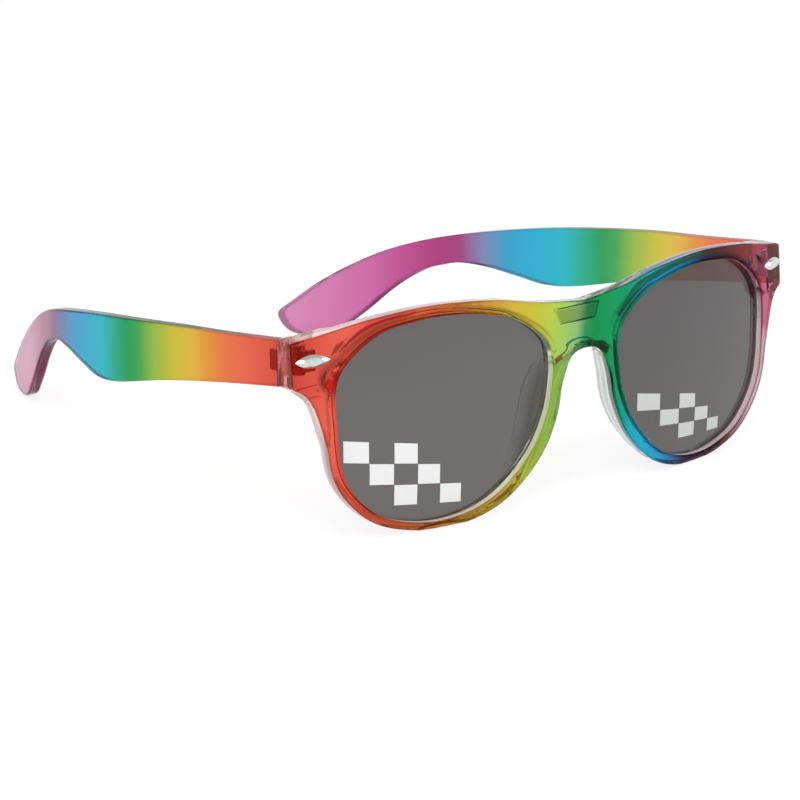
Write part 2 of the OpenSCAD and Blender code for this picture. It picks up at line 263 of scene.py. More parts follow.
def inside(points, ring):
    """True for each point inside a ring."""
    x, z = points[:, 0, None], points[:, 1, None]
    a = ring[None]
    b = np.roll(ring, -1, 0)[None]
    crosses = (a[:, :, 1] > z) != (b[:, :, 1] > z)
    rise = np.where(b[:, :, 1] == a[:, :, 1], TINY, b[:, :, 1] - a[:, :, 1])
    left = x < (b[:, :, 0] - a[:, :, 0]) * (z - a[:, :, 1]) / rise + a[:, :, 0]
    return (crosses & left).sum(1) % 2 == 1


def smooth(low, high, value):
    """Soft step from 0 at low to 1 at high."""
    t = np.clip((value - low) / (high - low), 0, 1)
    return t * t * (3 - 2 * t)


def zone(values, steps):
    """Product of soft steps, one for each of the values."""
    share = 1.0
    for value, step in zip(values, steps):
        share = share * smooth(*step, value)
    return share


def mirrored(line):
    """The same line on the other side of the middle."""
    return line * [-1, 1]


def beside(line, off, closed=False):
    """A line moved sideways, to the outside of a counter-clockwise ring."""
    normal = ring_normals(line)
    if not closed:
        normal[0], normal[-1] = normal[1], normal[-2]
    return spaced(line + off * normal, MARK_STEP, closed)


def eased(line, rounds=12):
    """Takes the kinks out of a line where two stretches were joined."""
    line = spaced(line, ROW_STEP / 2)
    for _ in range(rounds):
        line[1:-1] = 0.25 * line[:-2] + 0.5 * line[1:-1] + 0.25 * line[2:]
    return line


# Outlines of the front, seen along y
EYE_SHAPE = [
    (0.495, 0.02), (0.48, 0.28), (0.32, 0.448), (0.13, 0.496), (-0.03, 0.5), (-0.18, 0.475),
    (-0.34, 0.417), (-0.485, 0.265), (-0.485, 0.03), (-0.425, -0.172), (-0.322, -0.329),
    (-0.189, -0.445), (-0.028, -0.5), (0.147, -0.494), (0.33, -0.416), (0.462, -0.229),
]  # fmt: skip
END_SHAPE = [(0, 0), (0.19, 0.025), (0.4, 0.095), (0.6, 0.24), (0.76, 0.46), (0.9, 0.7), (1.05, 1)]


def eye_ring():
    """The left lens opening, counter-clockwise."""
    ring = ring_curve([(LENS_X + u * LENS_W, LENS_Z + v * LENS_H) for u, v in EYE_SHAPE], 24)
    return spaced(ring, ROW_STEP, closed=True)


def rim_ring(eye):
    """The rim's outer edge round the left lens opening."""
    n = ring_normals(eye)
    right, left = np.maximum(n[:, 0], 0), np.minimum(n[:, 0], 0)
    up, down = np.maximum(n[:, 1], 0), np.minimum(n[:, 1], 0)
    width = right**2 * RIM_SIDE + left**2 * RIM_NOSE + up**2 * RIM_TOP + down**2 * RIM_LOW
    return eye + (width + 2 * left * down * RIM_TURN)[:, None] * n


def rounded_corner(corner, before, after, radius):
    """Arc that takes the place of a right-angled corner, between two unit directions."""
    turns = np.linspace(0, math.pi / 2, 5)
    centre = corner + radius * (before + after)
    return [centre - radius * (math.sin(t) * before + math.cos(t) * after) for t in turns]


def half_outline(eye):
    """Outer edge of the left half, from the top of the bridge clockwise to the middle of the arch."""
    top = open_curve(
        [
            (0, BRIDGE_Z),
            (LENS_X - 0.45 * LENS_W, BRIDGE_Z + 0.3 * BRIDGE_DROP),
            (LENS_X - 0.23 * LENS_W, BRIDGE_Z + 0.78 * BRIDGE_DROP),
            (LENS_X + 0.05 * LENS_W, BROW_Z),
            (LENS_X + 0.33 * LENS_W, END_Z + 0.74 * END_DROP),
            (HALF_W - 0.64 * END_H, END_Z + 0.25 * END_DROP),
            (HALF_W, END_Z),
        ],
        12,
    )
    arch = open_curve(
        [
            (0.375 * LENS_GAP, ARCH_Z - 0.37 * LENS_GAP),
            (0.3 * LENS_GAP, ARCH_Z - 0.186 * LENS_GAP),
            (0.255 * LENS_GAP, ARCH_Z - 0.103 * LENS_GAP),
            (0.19 * LENS_GAP, ARCH_Z - 0.041 * LENS_GAP),
            (0.1 * LENS_GAP, ARCH_Z - 0.008 * LENS_GAP),
            (0, ARCH_Z),
        ],
        10,
    )
    sweep = np.array([LENS_X + LENS_W / 2 + RIM_SIDE - HALF_W, -0.3 * LENS_H])
    end = open_curve([np.array([HALF_W, END_LOW]) + p * sweep for p in END_SHAPE], 10)
    rim = rim_ring(eye)
    end = end[~inside(end, rim)]
    arch = arch[~inside(arch, rim)]
    first = np.argmin(np.linalg.norm(rim - end[-1], axis=1))
    last = np.argmin(np.linalg.norm(rim - arch[0], axis=1))
    turn = (first - last) % len(rim)
    under = rim[[(first - k) % len(rim) for k in range(1, turn)]]
    back, up, down = np.array([-1.0, 0]), np.array([0, 1.0]), np.array([0, -1.0])
    upper = rounded_corner(top[-1], back, down, CORNER)
    lower = rounded_corner(end[0], up, back, CORNER)
    top = top[top[:, 0] < HALF_W - 1.5 * CORNER]
    end = end[end[:, 0] < HALF_W - 1.5 * CORNER]
    lead = spaced(np.vstack([top, upper]), ROW_STEP)
    side = spaced(np.vstack([upper[-1], lower[0]]), ROW_STEP)[1:]
    rest = spaced(eased(np.vstack([lower, end, under, arch])), ROW_STEP)[1:]
    return np.vstack([lead, side, rest])


# Plates: solids between two curved surfaces over a drawing
ARC = [math.radians(a) for a in (0, 18, 36, 54, 72, 90)]


def edge_rows(ring, reach, hole):
    """Rows of points beside an edge, closer together towards it. reach is how far its rounding goes."""
    normal = ring_normals(ring) * (1 if hole else -1)
    reach = np.broadcast_to(reach, len(ring))
    return np.vstack([ring + normal * (reach * (1 - math.cos(a)))[:, None] for a in ARC[1:]])


def filling(rings, spacing, keep_off, row_ratio=0.87):
    """Even points inside a drawing, away from its edges, every other row half a step further along."""
    low, high = rings[0].min(0), rings[0].max(0)
    points = []
    for k, z in enumerate(np.arange(low[1], high[1], spacing * row_ratio)):
        points += [(x, z) for x in np.arange(low[0] + (k % 2) * spacing / 2, high[0], spacing)]
    points = np.array(points)
    return points[within(points, rings, keep_off)]


def within(points, rings, keep_off):
    """True for each point inside a drawing and further than keep_off from its edges."""
    good = inside(points, rings[0])
    for hole in rings[1:]:
        good &= ~inside(points, hole)
    for ring in rings:
        good[good] = distance(points[good], ring) > keep_off
    return good


def thinned(points, gap):
    """Drops each point that lies too close to an earlier one."""
    cells = {}
    kept = []
    for p in points:
        column, row = int(p[0] // gap), int(p[1] // gap)
        around = [(column + i, row + j) for i in (-1, 0, 1) for j in (-1, 0, 1)]
        near = [q for cell in around for q in cells.get(cell, ())]
        if all((q[0] - p[0]) ** 2 + (q[1] - p[1]) ** 2 > gap * gap for q in near):
            cells.setdefault((column, row), []).append(p)
            kept.append(p)
    return np.array(kept)


def cleaned(rows, fill, rings, near):
    """A surface's own points: its rows and filling, less what comes too near to an edge or another."""
    off, gap = near
    return thinned(np.vstack([rows[within(rows, rings, off)], fill]), gap)


def triangles(rings, extra):
    """Triangles over a drawing, as indices into its rings' points followed by the extra points."""
    points = np.vstack(rings + [extra])
    edges = []
    start = 0
    for ring in rings:
        n = len(ring)
        edges += [(start + k, start + (k + 1) % n) for k in range(n)]
        start += n
    made, _, faces, origin, _, _ = delaunay_2d_cdt([tuple(p) for p in points], edges, [], 0, SAME_POINT)
    index = [o[0] if o else -1 for o in origin]
    faces = np.array([[index[v] for v in f] for f in faces])
    centre = points[faces].mean(1)
    good = inside(centre, rings[0])
    for hole in rings[1:]:
        good &= ~inside(centre, hole)
    return points, faces[good]


def band(low, high):
    """Faces between two rings of point numbers."""
    return list(zip(low, np.roll(low, -1), np.roll(high, -1), high))


def plain_mesh(name, points, faces):
    """Mesh of points in millimetres."""
    mesh = bpy.data.meshes.new(name)
    mesh.from_pydata((points * MM).tolist(), [], [[int(v) for v in f] for f in faces])
    return mesh


def placed(name, mesh):
    """New object of the scene."""
    obj = bpy.data.objects.new(name, mesh)
    bpy.context.scene.collection.objects.link(obj)
    return obj


def tidy_mesh(mesh, sharp=40):
    """Joins doubles, turns faces outwards and keeps edges sharper than an angle crisp."""
    bm = bmesh.new()
    bm.from_mesh(mesh)
    bmesh.ops.remove_doubles(bm, verts=bm.verts, dist=SAME_POINT)
    bmesh.ops.recalc_face_normals(bm, faces=bm.faces)
    if bm.calc_volume(signed=True) < 0:
        bmesh.ops.reverse_faces(bm, faces=bm.faces)
    for face in bm.faces:
        face.smooth = True
    for edge in bm.edges:
        edge.smooth = len(edge.link_faces) == 2 and edge.calc_face_angle(0) < math.radians(sharp)
    bm.to_mesh(mesh)
    bm.free()


def in_frame(points):
    """Moves points from the front's own y to the part's, and keeps them in the CAD model's box."""
    low, high = (np.array(corner) / MM for corner in cad_box)
    return np.clip(points - [0, MID_Y, 0], low, high)


class Shell:
    """Points, faces and painted values of a solid while it is put together. The values at each point are
    how much coat it has, how far it is a wall, how dark the painted shade at its edge is, and its way
    across the wall."""

    def __init__(self):
        self.points = []
        self.faces = []
        self.values = {"coat": [], "wall": [], "edge": [], "across": []}

    def added(self, points, *values):
        """Takes points with their values in, and gives their numbers."""
        start = sum(len(p) for p in self.points)
        self.points.append(points)
        for held, value in zip(self.values.values(), values):
            held.append(np.broadcast_to(value, len(points)))
        return start + np.arange(len(points))

    def made(self, name):
        mesh = plain_mesh(name, in_frame(np.vstack(self.points)), self.faces)
        for word, values in self.values.items():
            layer = mesh.attributes.new(word, "FLOAT", "POINT")
            layer.data.foreach_set("value", np.concatenate(values).astype(np.float32))
        tidy_mesh(mesh)
        return placed(name, mesh)


def plate(name, rings, surfaces, extras, walls, coat_and_shade, paint):
    """Solid over a drawing. surfaces turn drawing points into the two surfaces' points, extras hold each
    surface's own points, and walls gives for each ring the rows of points between the two surfaces.
    The first surface carries the coloured coat and the second one doesn't. coat_and_shade gives how much
    coat and painted shade a surface has at its points, and paint how much coat, paleness and painted
    shade the walls have beside a ring's points, at a share of the way to the back. Some of the paleness
    is painted light."""
    shell = Shell()
    sheets = []
    for surface, extra, dyed in zip(surfaces, extras, (1, 0)):
        points, tris = triangles(rings, extra)
        coat, dark = coat_and_shade(points, dyed)
        sheets.append(shell.added(surface(points), coat, 0, dark, 0))
        shell.faces += (tris + sheets[-1][0]).tolist()
    start = 0
    for ring, rows in zip(rings, walls):
        edges = [sheet[start : start + len(ring)] for sheet in sheets]
        strip = [edges[0]]
        for number, row in enumerate(rows):
            share = (number + 1) / (len(rows) + 1)
            strip.append(shell.added(row, *paint(ring, share), share))
        strip.append(edges[1])
        for a, b in zip(strip, strip[1:]):
            shell.faces += band(a, b)
        start += len(ring)
    return shell.made(name)


def fillet(reach, drop, d):
    """Fall of a surface at the distance d from an edge that is rounded over reach and drop."""
    t = np.clip(1 - d / np.maximum(reach, SMALL), 0, 1)
    return drop * (1 - np.sqrt(np.maximum(1 - t * t, 0)))


def rectangle(x0, x1, z0, z1):
    """Corners of a rectangle, counter-clockwise."""
    return np.array([(x0, z0), (x1, z0), (x1, z1), (x0, z1)], float)


def sunk(p, ring, lip=LIP):
    """1 well inside a ring, 0 outside, with a steep lip."""
    return np.where(inside(p, ring), np.clip(distance(p, ring) / lip, 0, 1), 0)


def lip_rows(ring, lip=LIP):
    """Points on both sides of a pocket's lip."""
    centre = ring.mean(0)
    inner = centre + (ring - centre) * (1 - 1.2 * lip / np.abs(ring - centre).min(0))
    return np.vstack([spaced(line, LIP_STEP, closed=True) for line in (ring, inner)])


# Front

# Zones of the front's shape: soft steps from 0 at the first number to 1 at the second, along the
# distance from the middle and then along z
END_ZONE = (HALF_W - 9, HALF_W - 5), (END_LOW - 4, END_LOW - 1)
ARCH_ZONE = (8, 4), (ARCH_Z + 5, ARCH_Z + 1), (ARCH_Z - 7, ARCH_Z - 3)
PAD_ZONE = (31, 23), (ARCH_Z + 0.5, ARCH_Z - 3)
PAD_ACROSS = (0.4, 0.92)
BLOCK_LOW = (END_LOW - 2.5, END_LOW - 0.3)
BUTT_SIDES = (BUTT_X - 0.02, BUTT_X + 0.02)

# Zones of the front's paint, which is mostly painted light and shade, along the distance from the
# middle, or along x where one half alone has them, and then along z. The far half is the wearer's left
# one, at positive x.
NOSE_ZONE = (27, 20), (37, 33)
UPPER_ZONE = (8, 12), (31, 37)
LOW_RIM = (9, 4)
FAR_LOW_RIM = (26, 34)
NEAR_OUTSIDE = (-40, -46)
FAR_OUTSIDE = (20, 26)
FAR_CHEEK = (46, 56), (27, 19)
CHEEK_IN = (0.9, 1.4)
FAR_BROW = (0, 6), (30, 36)
FAR_CORNER = (50, 58), (25, 31)
FAR_NOSE = (4, 8)
LIGHT_PATCH = (HALF_W - 1, HALF_W - 0.4), (37.4, 38.2), (42.4, 41.6)
END_FACE = (HALF_W - 8, HALF_W - 3), (END_LOW - 3, END_LOW)
END_WALL = (HALF_W - 3, HALF_W - 1), (END_LOW - 3, END_LOW)

# Painted shade: the dark lines that refraction makes beside the edges, the darker lower rim and the
# darker recess. Their widths, how dark they are from 0 to 1, and the share that a zone takes away
PAINTED_SHADE_DARK = 0.75
OUTER_LINE = 0.35
EYE_LINE = 0.45
LOW_WIDER = 0.9
TOP_WIDER = 0.3
OUTSIDE_WIDER = 1.2
SECOND_LINE_AT = 1.1
SECOND_LINE = (0.15, 0.5)
RECESS_LIP = 0.4
LOW_RIM_SHADE = 0.3
NOSE_FAINTER = 0.85
END_FAINTER = 0.75
# Painted light: the share of coat that the far cheek loses, which makes it paler
CHEEK_PAINTED_LIGHT = 0.55
SHADE_MARK_W = 0.55
SHADE_MARK_TIP = 1.4

# Walls: shares that zones take from their paleness, their darkness and their coat, from 0 to 1. The
# darkness is painted shade, and the zones that one half alone has paint light and shade.
END_LESS_PALE = 0.6
LIP_LESS_PALE = 0.15
NOSE_PALE = 0.8
BROW_LESS_PALE = 0.85
LIGHT_PATCH_PALE = 0.9
WALL_PAINTED_SHADE = 0.8
BUTT_LIGHTER = 0.8
BACK_PAINTED_SHADE = 0.7
BROW_PAINTED_SHADE = 0.45
CORNER_PAINTED_SHADE = 0.75
END_COAT = 0.95
BROW_COAT = 0.7

# Middle lines of the two dark pointed marks of painted shade where the near rim swells into its end
# piece
SHADE_MARKS = [
    ((-60.6, 43.6), (-62.6, 42.1), (-63.9, 40.6)),
    ((-65.3, 37.6), (-65.9, 35.8), (-65.8, 33.6)),
]

LEAF_POCKET = rectangle(PIN_X - FRONT_LEAF, PIN_X - BARREL_R, HINGE_Z - LEAF_H / 2, HINGE_Z + LEAF_H / 2)
BARREL_LOW = HINGE_Z - 1.5 * KNUCKLE_H - KNUCKLE_GAP - HINGE_CLEAR
BARREL_TOP = BARREL_LOW + 3 * KNUCKLE_H + 2 * KNUCKLE_GAP + HEAD_H + 2 * HINGE_CLEAR
BARREL_POCKET = rectangle(PIN_X - BARREL_R - HINGE_CLEAR, BUTT_X, BARREL_LOW, BARREL_TOP)
BRIDGE_POCKET = np.array(
    [
        (-0.27 * LENS_GAP, BRIDGE_Z - 0.5 * BRIDGE_H),
        (0.27 * LENS_GAP, BRIDGE_Z - 0.5 * BRIDGE_H),
        (0.35 * LENS_GAP, BRIDGE_Z - 0.15 * BRIDGE_H),
        (-0.35 * LENS_GAP, BRIDGE_Z - 0.15 * BRIDGE_H),
    ]
)
SHADE_MARK_LINES = [open_curve(points, 8) for points in SHADE_MARKS]


def back_zones(p):
    """How far each point belongs to an end piece and to the arch over the nose."""
    x, z = abs(p[:, 0]), p[:, 1]
    return zone((x, z), END_ZONE), zone((x, z, z), ARCH_ZONE)


def back_reach(p):
    """How far the back's rounding reaches in from the outer edge."""
    end, arch = back_zones(p)
    return BACK_REACH + ARCH_ROUNDER * arch - (BACK_REACH - END_EDGE) * end


def back_drop(p):
    """How far the back falls over that rounding."""
    end, arch = back_zones(p)
    return (BACK_DROP + ARCH_ROUNDER * arch) * (1 - end) + END_EDGE * end


def pad_height(p):
    """Depth of the nose pad behind the rim, along the nose side."""
    x, z = abs(p[:, 0]), p[:, 1]
    along = np.clip((z - PAD_FOOT) / (ARCH_Z - 2), 0, 1)
    return PAD_DEPTH * np.sin(math.pi * along) ** PAD_FULLNESS * zone((x, z), PAD_ZONE)


def end_block(p):
    """y of the block behind the end piece, and how much of it there is at each point."""
    x = abs(p[:, 0])
    root = BLOCK_X - BLOCK_ROOT
    steps = [BLOCK_Y - BLOCK_ROOT, BLOCK_Y, BLOCK_Y, SEAM_Y, SEAM_Y]
    ramp = np.interp(x, [root, BLOCK_X, *BUTT_SIDES, HALF_W], steps)
    return ramp, smooth(*BLOCK_LOW, p[:, 1]) * (x > root)


def in_shade_marks(p):
    """1 in the two dark pointed marks of painted shade where the rim swells into each end piece, 0
    elsewhere.
    """
    share = np.zeros(len(p))
    spots = np.stack([-abs(p[:, 0]), p[:, 1]], 1)
    for line in SHADE_MARK_LINES:
        tips = [np.linalg.norm(spots - end, axis=1) for end in (line[0], line[-1])]
        half = SHADE_MARK_W * np.clip(np.minimum(*tips) / SHADE_MARK_TIP, 0, 1)
        off = distance(spots, line, closed=False)
        share = np.maximum(share, 1 - smooth(0.6 * half, half + 0.05, off))
    return share


class Front:
    """Drawing, surfaces and paint of the front."""

    def __init__(self):
        eye = eye_ring()
        half = half_outline(eye)
        other = mirrored(half)[::-1][1:-1]
        self.outer = np.vstack([half, other])[::-1]
        self.eyes = [eye, mirrored(eye)[::-1]]
        self.rings = [self.outer] + self.eyes

    def edges(self, p):
        """Distances from the outer edge and from the nearer lens opening."""
        return distance(p, self.outer), np.minimum(distance(p, self.eyes[0]), distance(p, self.eyes[1]))

    def face(self, p):
        outer, eye = self.edges(p)
        fall = np.maximum(fillet(FACE_EDGE, FACE_EDGE, outer), fillet(EYE_EDGE, EYE_EDGE, eye))
        return self.solid(p, fall)

    def back_depth(self, p):
        """Depth of the back behind the face."""
        outer, eye = self.edges(p)
        across = outer / np.maximum(outer + eye, SMALL)
        depth = FRONT_T + pad_height(p) * (1 - smooth(*PAD_ACROSS, across))
        block, share = end_block(p)
        depth += np.maximum(block - face_y(abs(p[:, 0]), p[:, 1]) - depth, 0) * share
        depth -= fillet(back_reach(p), back_drop(p), outer) + fillet(EYE_BEVEL, EYE_BEVEL, eye)
        side = np.stack([abs(p[:, 0]), p[:, 1]], 1)
        depth -= LEAF_T * sunk(side, LEAF_POCKET)
        round_pin = (BARREL_R + HINGE_CLEAR) ** 2 - (side[:, 0] - PIN_X) ** 2
        barrel = SEAM_Y - np.sqrt(np.maximum(round_pin, 0)) - face_y(side[:, 0], side[:, 1])
        depth -= np.maximum(depth - barrel, 0) * sunk(side, BARREL_POCKET)
        return depth - BRIDGE_RECESS * sunk(p, BRIDGE_POCKET, BRIDGE_LIP)

    def solid(self, p, depth):
        """Points at a depth behind the face. The pads spread outwards as they go back."""
        lean = np.maximum(depth - PAD_START, 0) * np.minimum(pad_height(p) / (0.5 * PAD_DEPTH), 1)
        x = p[:, 0] + np.sign(p[:, 0]) * PAD_SPREAD * lean
        z = np.maximum(p[:, 1] - PAD_FALL * lean, 0)
        return np.stack([x, face_y(p[:, 0], p[:, 1]) + depth, z], 1)

    def back(self, p):
        return self.solid(p, self.back_depth(p))

    def face_rows(self):
        """Points of the face beside its edges and its painted lines."""
        rows = [edge_rows(self.outer, FACE_EDGE, False)]
        rows += [edge_rows(eye, EYE_EDGE, True) for eye in self.eyes]
        marks = np.vstack([beside(line, off) for line in SHADE_MARK_LINES for off in MARK_ROWS])
        rows += [marks, mirrored(marks)]
        rows += [beside(eye, off, True) for eye in self.eyes for off in RIM_ROWS]
        return np.vstack(rows)

    def back_rows(self):
        """Points of the back beside its edges, its pockets and the step at each temple's butt."""
        rows = [edge_rows(self.outer, back_reach(self.outer), False)]
        rows += [edge_rows(eye, EYE_BEVEL, True) for eye in self.eyes]
        for pocket in (LEAF_POCKET, BARREL_POCKET):
            rows += [lip_rows(pocket), mirrored(lip_rows(pocket))]
        rows.append(lip_rows(BRIDGE_POCKET, BRIDGE_LIP))
        heights = np.arange(END_LOW + SEAM_STEP, END_Z - 0.2, SEAM_STEP)
        for x in BUTT_SIDES:
            rows += [np.stack([np.full(len(heights), side * x), heights], 1) for side in (1, -1)]
        return np.vstack(rows)

    def extras(self):
        """Each surface's own points."""
        fill = filling(self.rings, *FRONT_NET)
        face = cleaned(self.face_rows(), fill, self.rings, FACE_NEAR)
        return face, cleaned(self.back_rows(), fill, self.rings, BACK_NEAR)

    def walls(self):
        """Rows between face and back: plain at the outer edge, with the lens groove round each eye."""
        low = FACE_EDGE
        high = self.back_depth(self.outer)
        shares = (EDGE_SHARE, 0.2, 0.4, 0.6, 0.86, 1 - EDGE_SHARE)
        rows = [[self.solid(self.outer, low + s * (high - low)) for s in shares]]
        for ring in self.eyes:
            reach = ring + ring_normals(ring) * (LENS_REACH + LENS_CLEAR)
            a = LENS_INSET - LENS_CLEAR
            b = LENS_INSET + LENS_T + LENS_CLEAR
            turns = ((ring, EYE_EDGE + GROOVE_LIP), (ring, a), (reach, a), (reach, b), (ring, b))
            rows.append([self.solid(q, np.full(len(q), d)) for q, d in turns])
        return rows

    def painted_shade_lines(self, p, low):
        """Painted shade: the dark lines that refraction makes beside the edges, as the photo shows them,
        wider on the lower and upper rims.
        """
        x, z = p[:, 0], p[:, 1]
        outer, eye = self.edges(p)
        nose, top = zone((abs(x), z), NOSE_ZONE), zone((abs(x), z), UPPER_ZONE)
        outside = smooth(*NEAR_OUTSIDE, x) + smooth(*FAR_OUTSIDE, x)
        width = EYE_LINE + np.maximum(LOW_WIDER * low, (TOP_WIDER + OUTSIDE_WIDER * outside) * top)
        strength = PAINTED_SHADE_DARK + (1 - PAINTED_SHADE_DARK) * np.maximum(x > 0, top * outside)
        beside_eye = strength * (1 - NOSE_FAINTER * nose) * (1 - smooth(0, width, eye))
        lines = np.maximum(PAINTED_SHADE_DARK * (1 - smooth(0, OUTER_LINE, outer)), beside_eye)
        second = 1 - smooth(*SECOND_LINE, abs(eye - SECOND_LINE_AT))
        lines = np.maximum(lines, PAINTED_SHADE_DARK * top * (1 - outside) * second)
        return lines * (1 - END_FAINTER * zone((abs(x), z), END_FACE) * (outer < eye))

    def coat_and_shade(self, p, dyed):
        """Coat and painted shade of the face, where dyed is 1, and of the back, which has painted shade
        in the recess. The far cheek's coat is taken down, which paints it lighter.
        """
        x, z = p[:, 0], p[:, 1]
        low = smooth(*LOW_RIM, z) * np.maximum(x < 0, smooth(*FAR_LOW_RIM, x))
        # Painted shade in the bridge's recess on the back
        recess_shade = 0.0 if dyed else PAINTED_SHADE_DARK * sunk(p, BRIDGE_POCKET, RECESS_LIP)
        cheek = zone((x, z), FAR_CHEEK) * smooth(*CHEEK_IN, self.edges(p)[0])
        lines, marks = self.painted_shade_lines(p, low), in_shade_marks(p) * dyed
        # Painted shade: dark lines, dark marks, the darker lower rim and the recess
        dark = np.maximum.reduce([lines, marks, LOW_RIM_SHADE * low + recess_shade])
        # Painted light: less coat on the far cheek makes it paler
        return dyed * (1 - CHEEK_PAINTED_LIGHT * cheek), np.clip(dark, 0, 1)

    def paint(self, p, share):
        """Coat, paleness and painted shade of the walls. The far half is painted less pale than the near
        one, painted shade darkens the back edge, the far brow and the far upper corner, and painted
        light makes a pale patch halfway back on each end piece's side wall.
        """
        x, z = p[:, 0], p[:, 1]
        outer, eye = self.edges(p)
        inner = (eye < outer) * 1.0
        end = zone((abs(x), z), END_WALL)
        brow = zone((x, z), FAR_BROW) * (1 - inner)
        corner = zone((x, z), FAR_CORNER) * inner
        nose = smooth(*FAR_NOSE, x) * zone((x, z), NOSE_ZONE)
        beside_face, halfway, beside_back = share < 0.4, 0.3 < share < 0.7, share > 0.84
        # Painted light and shade of one half: the far nose side's inner walls are paler, and the far
        # brow's are less pale
        less = LIP_LESS_PALE if beside_face else 1 - NOSE_PALE * nose
        pale = (1 - END_LESS_PALE * end) * (1 - inner * less) * (1 - BROW_LESS_PALE * brow)
        # Painted light: a pale patch halfway back on each end piece's side wall
        pale = np.maximum(pale, LIGHT_PATCH_PALE * zone((abs(x), z, z), LIGHT_PATCH) * halfway)
        # Painted shade: the back edge of the outer walls, the far brow and the far upper corner
        dark = BACK_PAINTED_SHADE * beside_back * (1 - inner) + BROW_PAINTED_SHADE * brow + CORNER_PAINTED_SHADE * corner
        dark = np.minimum(dark, WALL_PAINTED_SHADE) * (1 - BUTT_LIGHTER * end)
        return END_COAT * end + BROW_COAT * brow, pale, dark


def make_front():
    front = Front()
    drawn = front.rings, (front.face, front.back), front.extras(), front.walls()
    return plate("front_shell", *drawn, front.coat_and_shade, front.paint)


# Temples
def side_ring():
    """Side view of the temple, y from the butt face, counter-clockwise, and its long edge alone."""
    bend_z = END_Z - BEND_DROP
    neck = BEND_AT - STEP_AT
    step_low = END_Z - STEP_DROP - STEP_H
    swell = STEP_H + STEP_DROP - END_H

    def ear(u, v):
        return (BEND_AT + u * (REACH - BEND_AT), v * bend_z)

    points = [
        (0, END_Z), (0.29 * STEP_AT, END_Z - 0.27 * STEP_DROP),
        (0.57 * STEP_AT, END_Z - 0.5 * STEP_DROP), (STEP_AT, END_Z - STEP_DROP), (BEND_AT, bend_z),
        ear(0.29, 0.87), ear(0.52, 0.71), ear(0.75, 0.49), ear(0.92, 0.28), ear(0.998, 0.17),
        ear(0.98, 0.075), ear(0.93, 0.012), ear(0.86, -0.005), ear(0.77, 0.01), ear(0.69, 0.06),
        ear(0.625, 0.14), ear(0.52, 0.283), ear(0.415, 0.44), ear(0.31, 0.572), ear(0.2, 0.675),
        ear(0.1, 0.73), (BEND_AT, bend_z - BEND_H), (BEND_AT - 0.3 * neck, bend_z - BEND_H - 0.2),
        (BEND_AT - 0.65 * neck, step_low + 1.1), (STEP_AT, step_low), (0.86 * STEP_AT, step_low + 1.0),
        (0.57 * STEP_AT, END_LOW - 0.535 * swell), (0.29 * STEP_AT, END_LOW - 0.25 * swell),
        (0, END_LOW),
    ]  # fmt: skip
    edge = spaced(open_curve(points, 16), TEMPLE_STEP)[::-1]
    edge[:, 1] = np.maximum(edge[:, 1], 0)
    butt = spaced(np.vstack([edge[-1], edge[0]]), TEMPLE_STEP)[1:-1]
    return np.vstack([edge, butt]), edge


def plan_lines(spare=8):
    """Outer and inner line of the temple from above, as x by y from the butt face."""
    s = np.arange(0, REACH + spare, PLAN_STEP)
    turn = SPLAY - np.clip((s - BOW_AT) / BOW_RADIUS * 180 / math.pi, 0, BOW_ANGLE)
    turn = np.radians(turn)
    x = HALF_W + np.concatenate([[0], np.cumsum(PLAN_STEP * np.sin(turn[:-1]))])
    y = np.concatenate([[0], np.cumsum(PLAN_STEP * np.cos(turn[:-1]))])
    return (y, x), (y + TEMPLE_T * np.sin(turn), x - TEMPLE_T * np.cos(turn))


POCKET_Y = SEAM_Y + BARREL_R - BUTT_Y
TEMPLE_POCKET = rectangle(POCKET_Y, POCKET_Y + TEMPLE_LEAF, HINGE_Z - LEAF_H / 2, HINGE_Z + LEAF_H / 2)
SLOT_END = SEAM_Y - BUTT_Y + BARREL_R + SLOT_SPARE
SLOT_LOW = HINGE_Z - KNUCKLE_H / 2 - HINGE_CLEAR
SLOT_TOP = HINGE_Z + KNUCKLE_H / 2 + HINGE_CLEAR
KNUCKLE_SLOT = rectangle(-1, SLOT_END, SLOT_LOW, SLOT_TOP)
# Painted shade: a dark line beside the temple's long edge, its width and darkness
TEMPLE_LINE = 0.4
TEMPLE_LINE_SHADE = 0.65
BUTT_STRIP = (0.2, 0.8)


